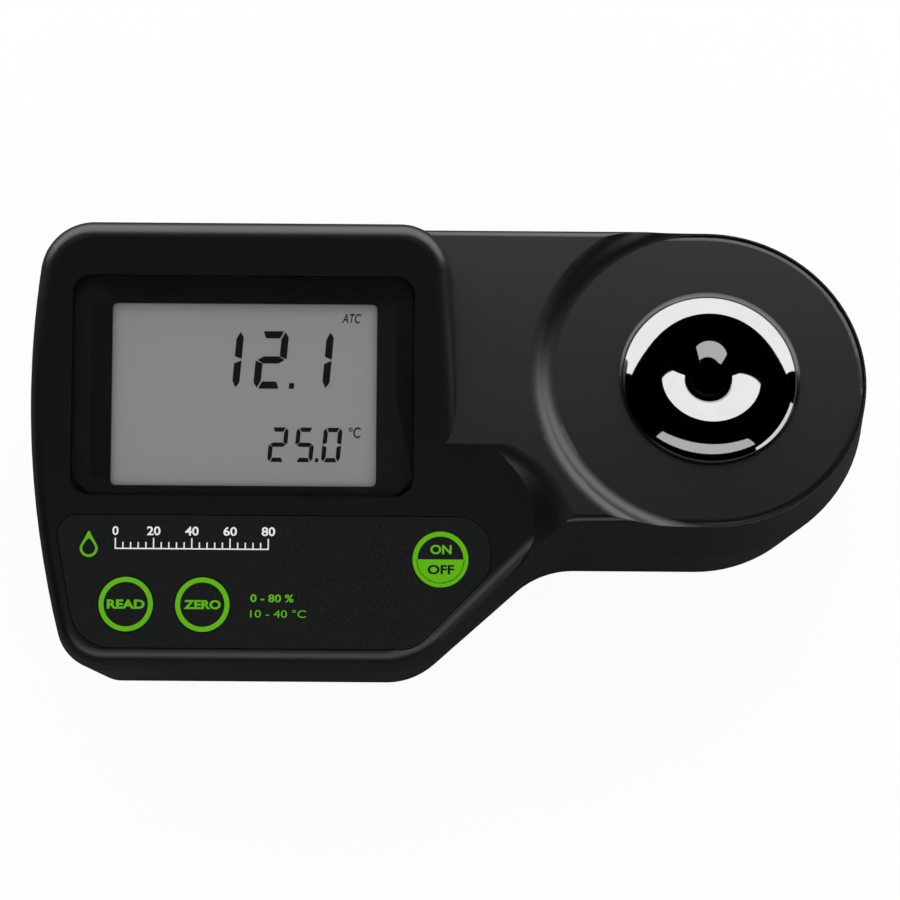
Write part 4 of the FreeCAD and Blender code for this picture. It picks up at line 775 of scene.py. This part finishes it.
DIGIT_BARS: dict[str, tuple[Segment, ...]] = {
    "0": (Segment.TOP, Segment.RIGHT_TOP, Segment.RIGHT_BOTTOM, Segment.BOTTOM, Segment.LEFT_BOTTOM,
          Segment.LEFT_TOP),
    "1": (Segment.RIGHT_TOP, Segment.RIGHT_BOTTOM),
    "2": (Segment.TOP, Segment.RIGHT_TOP, Segment.MIDDLE, Segment.LEFT_BOTTOM, Segment.BOTTOM),
    "5": (Segment.TOP, Segment.LEFT_TOP, Segment.MIDDLE, Segment.RIGHT_BOTTOM, Segment.BOTTOM),
}


@dataclass(frozen=True)
class DigitRow:
    """A row of leaning seven-bar digits, in millimetres."""

    name: str
    digits: str
    right_edges: tuple[float, ...]
    foot_v: float
    height: float
    width: float
    stroke: float
    gap: float
    dot_x: float
    dot_size: Spot
    lean: float = 0.086

    def bar(self, segment: Segment) -> list[Spot]:
        """Give one bar's corners for an upright digit with its left foot at the origin.

        Args:
            segment: The bar.

        Returns:
            The corners in turn.
        """
        width, height, stroke, gap = self.width, self.height, self.stroke, self.gap
        cut_x, cut_y = 0.56 * stroke, 0.85 * stroke
        middle = height / 2
        top = [(cut_x + gap, height), (width - cut_x - gap, height), (width - stroke - gap, height - stroke),
               (stroke + gap, height - stroke)]
        side = [(width - cut_x + 0.3 * gap, height - 0.8 * gap), (width, height - cut_y),
                (width, middle + gap / 2), (width - stroke, middle + stroke / 2),
                (width - stroke, height - stroke - 0.6 * gap)]
        point = 0.28 * stroke
        near, far = stroke + gap / 2, width - stroke - gap / 2
        centre = [(point, middle), (near, middle + stroke / 2), (far, middle + stroke / 2),
                  (width - point, middle), (far, middle - stroke / 2), (near, middle - stroke / 2)]
        if segment is Segment.MIDDLE:
            return centre
        corners = top if segment in (Segment.TOP, Segment.BOTTOM) else side
        if segment in (Segment.LEFT_TOP, Segment.LEFT_BOTTOM):
            corners = [(width - x, y) for x, y in corners]
        if segment in (Segment.BOTTOM, Segment.LEFT_BOTTOM, Segment.RIGHT_BOTTOM):
            corners = [(x, height - y) for x, y in corners]
        return corners

    def shape(self, thickness: float) -> bmesh.types.BMesh:
        """Make the row's bars and its dot on the face's own axes.

        Args:
            thickness: The bars' thickness in millimetres.

        Returns:
            The mesh, in the face's x and v.
        """
        bars = []
        for digit, right in zip(self.digits, self.right_edges):
            for segment in DIGIT_BARS[digit]:
                bar = plate(self.bar(segment), thickness, 0.07 * self.stroke)
                bars.append(moved(bar, right - self.width - self.lean * self.height, 0))
        whole = joined(bars)
        slant = Matrix.Identity(4)
        slant[0][1] = self.lean
        bmesh.ops.transform(whole, matrix=slant, verts=whole.verts)
        across, up = self.dot_size
        left, right = self.dot_x - across / 2, self.dot_x + across / 2
        shift = self.lean * up
        dot = plate([(left, 0), (right, 0), (right + shift, up), (left + shift, up)], thickness, 0.08 * up)
        return moved(joined([whole, dot]), 0, self.foot_v)


@dataclass
class Display:
    """The window, the display glass and the figures it shows."""

    figure_depth: float = 3.6
    figure_thickness: float = 0.05
    top_row: DigitRow = DigitRow(
        "reading_digits", "121", right_edges=(-46.15, -36.05, -25.93), foot_v=12.95, height=12.95,
        width=6.95, stroke=1.62, gap=0.27, dot_x=-35.5, dot_size=(1.15, 1.3))
    low_row: DigitRow = DigitRow(
        "temperature_digits", "250", right_edges=(-35.92, -29.95, -23.85), foot_v=-3.5, height=7.75,
        width=4.2, stroke=0.97, gap=0.17, dot_x=-29.68, dot_size=(0.75, 0.9))
    mode_spot: Spot = (-22.1, 28.87)
    unit_spot: Spot = (-20.65, 3.18)
    degree_spot: Spot = (-22.07, 3.86)

    def build(self) -> None:
        """Dress the display's solids and lay the figures on the glass."""
        ink = PrintInk("display_figures", (0.008, 0.008, 0.009), 0.42).material()
        thick = self.figure_thickness
        foot = self.figure_depth + PRINT_SINK * thick
        figures = [(row.name, row.shape(thick), (0.0, 0.0)) for row in (self.top_row, self.low_row)]
        figures += [
            ("mode_sign", Lettering("ATC", 2.13, 4.3, 0.012, 0.25, thick).shape(), self.mode_spot),
            ("unit_letter", Lettering("C", 2.42, 1.66, 0.012, 0.06, thick).shape(), self.unit_spot),
            ("degree_ring", annulus(0.24, 0.46, thick, 48), self.degree_spot),
        ]
        for name, shape, spot in figures:
            finished(name, shape, FACE.matrix(*spot, foot), ink, Body.CASE)
        # The glass's two greys, with their middle and reach along Y, set its painted shade gradient.
        dress(["lcd_glass"],
              LiquidCrystal("display_grey", (0.415, 0.415, 0.415), (0.41, 0.41, 0.41), 0.006, 0.024))
        dress(["display_window"], ClearPane("clear_window", (0.02, 0.02, 0.022), 0.12))
        dress(["window_gasket", "lcd_frame"], MouldedPlastic("black_frame", (0.004, 0.004, 0.0042), 0.5))
        layers = ((0.5, 0.3, 0.33), (0.02, 0.02, 0.02))
        dress(["contact_strips"], StripedMaterial("layered_rubber", layers, 0.18 * MM, 0.0, 0.6))


# Keypad


@dataclass
class Keypad:
    """The overlay, its keys and the prints on them."""

    print_depth: float = 0.05
    print_height: float = 0.03
    ring_inner: float = 4.93
    ring_outer: float = 6.03
    power_inner: float = 5.1
    power_outer: float = 6.2
    read_spot: Spot = (-71.5, -35.5)
    zero_spot: Spot = (-54.5, -35.5)
    power_spot: Spot = (-1.7, -25.1)
    green: Colour = (0.115, 0.47, 0.001)
    white: Colour = (0.86, 0.86, 0.86)
    dark: Colour = (0.008, 0.009, 0.009)
    drop_spot: Spot = (-79.9, -22.3)
    scale_spot: Spot = (-57.0, -23.0)
    scale_length: float = 34.0
    scale_figures: tuple[str, ...] = ("0", "20", "40", "60", "80")
    figures_v: float = -19.2
    lines_left: float = -43.85

    def lay(self, name: str, shape: bmesh.types.BMesh, spot: Spot, ink: bpy.types.Material, body: Body,
            lift: float = 0.0) -> None:
        """Lay a print on the keypad.

        Args:
            name: The print's name.
            shape: Its mesh about the origin.
            spot: Its place on the face.
            ink: Its material.
            body: The body it rides on.
            lift: How far above the keypad's surface it lies, in millimetres.
        """
        depth = self.print_depth + PRINT_SINK * self.print_height - lift
        finished(name, shape, FACE.matrix(*spot, depth), ink, body)

    def letters(self, words: str, height: float, width: float, weight: float) -> bmesh.types.BMesh:
        """Make a line of letters as thick as the prints, about the origin.

        Args:
            words: What it says.
            height: The capitals' height.
            width: The line's width.
            weight: How much bolder than plain the letters are.

        Returns:
            The mesh.
        """
        return Lettering(words, height, width, weight, thickness=self.print_height).shape()

    def scale_marks(self, length: float, high: float, low: float, line: float, count: int,
                    every: int) -> bmesh.types.BMesh:
        """Make a row of upright ticks about the origin.

        Args:
            length: The row's length.
            high: The long ticks' height.
            low: The short ticks' height.
            line: The ticks' width.
            count: How many steps the row has.
            every: Each how many steps a long tick stands.

        Returns:
            The mesh.
        """
        ticks = []
        for index in range(count + 1):
            height = high if index % every == 0 else low
            x = length * (index / count - 0.5)
            corners = [(x - line / 2, 0), (x + line / 2, 0), (x + line / 2, height), (x - line / 2, height)]
            ticks.append(plate(corners, self.print_height))
        base = [(-length / 2 - line / 2, -line), (length / 2 + line / 2, -line), (length / 2 + line / 2, 0),
                (-length / 2 - line / 2, 0)]
        ticks.append(plate(base, self.print_height))
        return joined(ticks)

    def drop(self, radius: float, line: float) -> bmesh.types.BMesh:
        """Make the outline of a drop about the origin.

        Args:
            radius: The drop's radius.
            line: The outline's width.

        Returns:
            The mesh.
        """
        shape = annulus(radius - line, radius, self.print_height, 96)
        tip_reach, tip_pinch = 1.9 * radius * MM, 0.55
        for vert in shape.verts:
            if vert.co.y > 0:
                share = vert.co.y / (radius * MM)
                vert.co.y += (tip_reach - radius * MM) * share ** 3
                vert.co.x *= 1 - tip_pinch * share ** 2
        return moved(shape, 0, -0.4 * radius)

    def build(self) -> None:
        """Dress the overlay and keys and print them."""
        dress(["keypad_overlay", "read_key", "zero_key", "power_key"],
              PrintedFilm("keypad_film", (0.0045, 0.0052, 0.0062), (0.014, 0.016, 0.019)))
        green = PrintInk("green_ink", self.green).material()
        white = PrintInk("white_ink", self.white).material()
        dark = PrintInk("dark_ink", self.dark).material()
        for word, spot, body, width in (
                ("READ", self.read_spot, Body.READ, 8.4), ("ZERO", self.zero_spot, Body.ZERO, 8.2)):
            ring = annulus(self.ring_inner, self.ring_outer, self.print_height)
            self.lay(f"{word.lower()}_ring", ring, spot, green, body)
            self.lay(f"{word.lower()}_word", self.letters(word, 2.05, width, 0.04), spot, green, body)
        ring = annulus(self.power_inner, self.power_outer, self.print_height)
        self.lay("power_ring", ring, self.power_spot, green, Body.POWER)
        half = disc(self.power_inner + 0.3, self.print_height)
        cut = bmesh.ops.bisect_plane(half, geom=list(half.verts) + list(half.edges) + list(half.faces),
                                     plane_co=(0, 0, 0), plane_no=(0, 1, 0), clear_outer=True)
        rim = [item for item in cut["geom_cut"] if isinstance(item, bmesh.types.BMEdge)]
        bmesh.ops.edgenet_fill(half, edges=rim)
        self.lay("power_half", half, self.power_spot, green, Body.POWER)
        x, v = self.power_spot
        self.lay("on_word", self.letters("ON", 2.1, 4.75, 0.03), (x + 0.1, v + 2.2), green, Body.POWER)
        self.lay("off_word", self.letters("OFF", 2.1, 5.9, 0.03), (x + 0.1, v - 2.25), dark, Body.POWER, 0.02)
        self.lay("drop_sign", self.drop(2.0, 0.55), self.drop_spot, green, Body.CASE)
        marks = self.scale_marks(self.scale_length, high=2.2, low=1.3, line=0.28, count=20, every=5)
        self.lay("scale_marks", marks, self.scale_spot, white, Body.CASE)
        left = self.scale_spot[0] - self.scale_length / 2
        pitch = self.scale_length / (len(self.scale_figures) - 1)
        for index, figure in enumerate(self.scale_figures):
            letters = self.letters(figure, 2.0, 1.35 if len(figure) == 1 else 3.0, 0.02)
            place = (left + pitch * index, self.figures_v)
            self.lay(f"scale_figure_{figure}", letters, place, white, Body.CASE)
        for name, words, height, width, weight, v in (
                ("range_line", "0 - 80 %", 1.75, 9.6, 0.02, -34.0),
                ("warmth_line", "10 - 40 °C", 1.75, 12.4, 0.0, -37.4)):
            letters = self.letters(words, height, width, weight)
            self.lay(name, letters, (self.lines_left + width / 2, v), green, Body.CASE)


# Sample well


@dataclass
class SampleWell:
    """The polished ring round the prism, in millimetres about the head's axis."""

    centre: Spot = (58.8, 13.8)
    head_height: float = 51.5
    ceiling: float = 48.5
    neck_radius: float = 16.0
    ring_radius: float = 20.4
    edge_height: float = 0.8
    crest_radius: float = 12.8
    crest_rise: float = 4.64
    dome_radius: float = 9.5
    shoulder_radius: float = 11.28
    shoulder_rise: float = 4.39
    brow_radius: float = 4.8
    lip_radius: float = 5.0
    lip_rise: float = 0.95
    funnel_radius: float = 20.0
    well_radius: float = 4.1
    web_height: float = 50.2
    pocket_radius: float = 10.6
    steps: int = 256
    arc_steps: int = 32

    def arc(self, start: Spot, end: Spot, radius: float) -> list[Spot]:
        """Give points on an arc that bulges upwards from start to end.

        Args:
            start: Its first point as radius and height.
            end: Its last point.
            radius: The arc's radius.

        Returns:
            The points after the first one.
        """
        first, last = Vector(start), Vector(end)
        chord = last - first
        across = Vector((-chord.y, chord.x)).normalized()
        if across.y > 0:
            across = -across
        middle = (first + last) / 2 + across * math.sqrt(radius ** 2 - (chord.length / 2) ** 2)
        begin = math.atan2(first.y - middle.y, first.x - middle.x)
        finish = math.atan2(last.y - middle.y, last.x - middle.x)
        angles = [begin + (finish - begin) * step / self.arc_steps
                  for step in range(1, self.arc_steps + 1)]
        return [(middle.x + radius * math.cos(angle), middle.y + radius * math.sin(angle))
                for angle in angles]

    def build(self) -> None:
        """Spin the ring and dress the well's solids."""
        head = self.head_height
        edge = (self.ring_radius, head + self.edge_height)
        crest = (self.crest_radius, head + self.crest_rise)
        shoulder = (self.shoulder_radius, head + self.shoulder_rise)
        lip = (self.lip_radius, head + self.lip_rise)
        mouth = (self.well_radius, lip[1] + self.well_radius - self.lip_radius)
        profile = [(self.pocket_radius, self.ceiling), (self.neck_radius, self.ceiling),
                   (self.neck_radius, head), (self.ring_radius, head), edge]
        profile += self.arc(edge, crest, self.dome_radius)
        profile += self.arc(crest, shoulder, self.brow_radius)
        profile += self.arc(shoulder, lip, self.funnel_radius)
        profile += [mouth, (self.well_radius, self.web_height), (self.pocket_radius, self.web_height),
                    (self.pocket_radius, self.ceiling)]
        shape = bmesh.new()
        verts = [shape.verts.new((radius * MM, 0, height * MM)) for radius, height in profile]
        for first, second in zip(verts, verts[1:]):
            shape.edges.new((first, second))
        bmesh.ops.spin(shape, geom=list(shape.verts) + list(shape.edges), cent=(0, 0, 0), axis=(0, 0, 1),
                       angle=math.tau, steps=self.steps, use_merge=True)
        x, y = (value * MM for value in self.centre)
        place = Matrix.Translation((x, y, 0))
        steel = TurnedSteel("polished_ring", (0.55, 0.55, 0.545), (x, y), 0.035)
        ring = finished("polished_ring", shape, place, steel.material(), Body.CASE, smooth=True)
        ring.data.set_sharp_from_angle(angle=math.radians(40))
        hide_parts("sample_ring")
        dress(["prism"], ClearGlass("flint_glass", (0.9, 0.94, 0.92), 1.62))
        dress(["ring_seal"], SoftRubber("black_seal", (0.012, 0.012, 0.012)))
        dress(["prism_seal"], SoftRubber("silicone_seal", (0.02, 0.02, 0.02)))


# Casing and what it holds


@dataclass
class Casing:
    """The two shells, their seal, screws and feet."""

    black: Colour = (0.0014, 0.0018, 0.0021)

    def build(self) -> None:
        """Dress the casing's solids."""
        dress(["upper_shell"], MouldedPlastic("satin_case", self.black, 0.35, gloss=1.0, ior=1.6))
        dress(["lower_shell"], MouldedPlastic("satin_base", shade(self.black, 0.95), 0.38, gloss=1.0))
        dress(["case_seal"], SoftRubber("case_seal", (0.008, 0.008, 0.008)))
        dress(["case_screws"], PlatedSteel("case_screws", (0.55, 0.56, 0.58)))
        dress(["rubber_feet"], SoftRubber("rubber_feet", (0.014, 0.014, 0.014)))


@dataclass
class Electronics:
    """The main board and what stands on it."""

    mask: Colour = (0.01, 0.11, 0.035)
    track: Colour = (0.03, 0.22, 0.07)

    def build(self) -> None:
        """Dress the board's solids."""
        dress(["main_board"], CircuitBoard("green_board", self.mask, self.track, math.radians(-16.0)))
        dress(["led_board", "sensor_board"],
              CircuitBoard("green_board_small", self.mask, self.track, math.radians(50.0)))
        dress(["processor", "analog_chips", "temperature_sensor"],
              MouldedPlastic("chip_epoxy", (0.012, 0.012, 0.013), 0.55, 0.12 * MM, 0.008 * MM))
        dress(["battery_connector", "cable_connector"],
              MouldedPlastic("white_nylon", (0.62, 0.6, 0.52), 0.45, 0.4 * MM))
        dress(["key_switches"], MouldedPlastic("switch_body", (0.02, 0.02, 0.022), 0.4))
        dress(["read_plunger", "zero_plunger", "power_plunger"],
              MouldedPlastic("switch_plunger", (0.55, 0.55, 0.52), 0.4, 0.4 * MM))
        dress(["board_screws", "optics_screws", "well_screws"],
              PlatedSteel("small_screws", (0.6, 0.6, 0.6)))
        wires = ((0.5, 0.48, 0.42), (0.35, 0.33, 0.28))
        dress(["sensor_cable"], StripedMaterial("flat_cable", wires, 1.0 * MM, math.radians(90), 0.45))


@dataclass
class Optics:
    """The light path under the prism."""

    def build(self) -> None:
        """Dress the light path's solids."""
        dress(["optics_housing"], MouldedPlastic("optics_black", (0.008, 0.008, 0.0085), 0.6))
        dress(["collimating_lens", "imaging_lens"], ClearGlass("lens_glass", (0.95, 0.96, 0.97), 1.52))
        dress(["aperture"], MouldedPlastic("anodised_black", (0.01, 0.01, 0.011), 0.35, 0.1 * MM))
        dress(["led"], ClearGlass("amber_epoxy", (0.95, 0.62, 0.12), 1.5, 0.03))
        dress(["image_sensor"], MouldedPlastic("sensor_case", (0.03, 0.028, 0.04), 0.3))
        dress(["led_leads"], MouldedPlastic("black_wire", (0.01, 0.01, 0.01), 0.38, 0.6 * MM))


@dataclass
class BatteryBay:
    """The battery, its wires and the round cover beneath it."""

    def build(self) -> None:
        """Dress the battery bay's solids."""
        dress(["battery"],
              CellJacket("battery_jacket", (0.012, 0.014, 0.02), (0.42, 0.2, 0.05), -0.0488, 0.0262))
        dress(["battery_snap"], MouldedPlastic("snap_vinyl", (0.01, 0.01, 0.01), 0.45, 0.5 * MM))
        dress(["battery_pad"], OpenFoam("foam_pad", (0.03, 0.03, 0.032)))
        dress(["black_lead"], MouldedPlastic("black_insulation", (0.01, 0.01, 0.01), 0.38, 0.6 * MM))
        dress(["red_lead"], MouldedPlastic("red_insulation", (0.42, 0.01, 0.008), 0.38, 0.6 * MM))
        dress(["battery_cover"], MouldedPlastic("satin_cover", (0.0052, 0.006, 0.0066), 0.42))
        dress(["cover_seal"], SoftRubber("cover_seal", (0.01, 0.01, 0.01)))


# Studio


@dataclass(frozen=True)
class SoftBox:
    """A soft rectangular lamp, in metres, that stands upright and faces the instrument."""

    name: str
    place: tuple[float, float, float]
    length: float
    width: float
    level: float

    def build(self) -> None:
        """Hang the lamp."""
        lamp = bpy.data.lights.new(self.name, "AREA")
        lamp.shape = "RECTANGLE"
        lamp.size = self.length
        lamp.size_y = self.width
        lamp.energy = self.level * math.pi * self.length * self.width
        holder = bpy.data.objects.new(self.name, lamp)
        spot = Vector(self.place)
        facing = Vector((-spot.x, -spot.y, 0)).to_track_quat("-Z", "Y").to_matrix().to_4x4()
        holder.matrix_world = Matrix.Translation(spot) @ facing
        bpy.context.scene.collection.objects.link(holder)
        log.info("lamp %s at level %.2f", self.name, self.level)


@dataclass
class Studio:
    """The pale floor, the soft lamps and the camera at the picture's angle."""

    camera_spot: tuple[float, float, float] = (0.24, -180.88, 565.46)
    camera_tilt: float = 18.99
    camera_roll: float = 0.42
    lens: float = 97.24
    boxes: tuple[SoftBox, ...] = (
        SoftBox("back_wall", (0.0, 0.85, 0.67), 4.2, 1.26, 1.5),
        SoftBox("front_box", (0.0, -1.0, 0.96), 2.2, 0.86, 0.75),
        SoftBox("right_card", (0.92, -0.35, 0.10), 0.8, 0.18, 1.2),
    )
    room_level: float = 0.68
    floor_half_side: float = 3.0
    floor_tones: Spot = (0.84, 0.86)
    floor_unseen: float = 0.08
    floor_glow: float = 0.94

    def camera(self) -> None:
        """Set the camera."""
        lens = bpy.data.cameras.new("camera")
        lens.lens = self.lens
        lens.sensor_width = 36.0
        lens.clip_start = 0.01
        holder = bpy.data.objects.new("camera", lens)
        turn = Matrix.Rotation(math.radians(self.camera_tilt), 4, "X") @ Matrix.Rotation(
            math.radians(self.camera_roll), 4, "Z")
        holder.matrix_world = Matrix.Translation(Vector(self.camera_spot) * MM) @ turn
        bpy.context.scene.collection.objects.link(holder)
        bpy.context.scene.camera = holder

    def floor(self) -> None:
        """Lay the pale floor, which keeps a soft shadow."""
        shape = bmesh.new()
        bmesh.ops.create_grid(shape, x_segments=8, y_segments=8, size=self.floor_half_side)
        mesh = bpy.data.meshes.new("floor")
        shape.to_mesh(mesh)
        shape.free()
        floor = bpy.data.objects.new("floor", mesh)
        bpy.context.scene.collection.objects.link(floor)
        nodes = Nodes("pale_floor")
        paper = nodes.noise(0.04, 2)
        path = nodes.add("LightPath")
        tone = nodes.add("Mix")
        tone.data_type = "RGBA"
        nodes.link(path.outputs["Is Camera Ray"], tone.inputs["Factor"])
        tone.inputs[6].default_value = (*[self.floor_unseen] * 3, 1)
        low, high = ((value, value, value) for value in self.floor_tones)
        nodes.link(nodes.ramp(paper, ((PATTERN_LOW, low), (PATTERN_HIGH, high))), tone.inputs[7])
        nodes.link(tone.outputs[2], nodes.shader.inputs["Base Color"])
        nodes.set(roughness=0.9, specular_ior_level=0.1)
        glow = nodes.add("Emission")
        glow.inputs["Color"].default_value = (1, 1, 1, 1)
        share = nodes.add("Math")
        share.operation = "MULTIPLY"
        share.inputs[1].default_value = self.floor_glow
        nodes.link(path.outputs["Is Camera Ray"], share.inputs[0])
        mix = nodes.add("MixShader")
        nodes.link(share.outputs[0], mix.inputs[0])
        nodes.link(nodes.shader.outputs[0], mix.inputs[1])
        nodes.link(glow.outputs[0], mix.inputs[2])
        output = next(node for node in nodes.tree.nodes if node.type == "OUTPUT_MATERIAL")
        nodes.link(mix.outputs[0], output.inputs["Surface"])
        mesh.materials.append(nodes.material)

    def world(self) -> None:
        """Give an even room light that shows white behind the floor and dark in polished metal."""
        world = bpy.data.worlds.new("room")
        world.use_nodes = True
        tree = world.node_tree
        tree.nodes.clear()
        output = tree.nodes.new("ShaderNodeOutputWorld")
        path = tree.nodes.new("ShaderNodeLightPath")
        shown = None
        for rays, level in (("", self.room_level), ("Is Glossy Ray", 0.0), ("Is Camera Ray", 1.0)):
            tone = tree.nodes.new("ShaderNodeBackground")
            tone.inputs["Color"].default_value = (1, 1, 1, 1)
            tone.inputs["Strength"].default_value = level
            if shown is None:
                shown = tone
                continue
            mix = tree.nodes.new("ShaderNodeMixShader")
            tree.links.new(path.outputs[rays], mix.inputs[0])
            tree.links.new(shown.outputs[0], mix.inputs[1])
            tree.links.new(tone.outputs[0], mix.inputs[2])
            shown = mix
        tree.links.new(shown.outputs[0], output.inputs["Surface"])
        bpy.context.scene.world = world

    def build(self) -> None:
        """Set the camera, the floor, the room and the lamps."""
        bpy.context.scene.view_settings.view_transform = "Standard"
        self.camera()
        self.floor()
        self.world()
        for box in self.boxes:
            box.build()


def corners(bounds: tuple[Vector, Vector]) -> list[list[float]]:
    """Turn a box's two corners into plain lists."""
    return [list(corner) for corner in bounds]


def main() -> None:
    """Build the instrument's sub-assemblies in order, then the studio."""
    logging.basicConfig(level=logging.INFO, format="%(message)s")
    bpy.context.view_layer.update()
    for assembly in (Casing(), Display(), Keypad(), SampleWell(), Electronics(), Optics(), BatteryBay(),
                     Studio()):
        assembly.build()
        log.info("%s is ready", type(assembly).__name__)


if __name__ == "__main__":
    main()
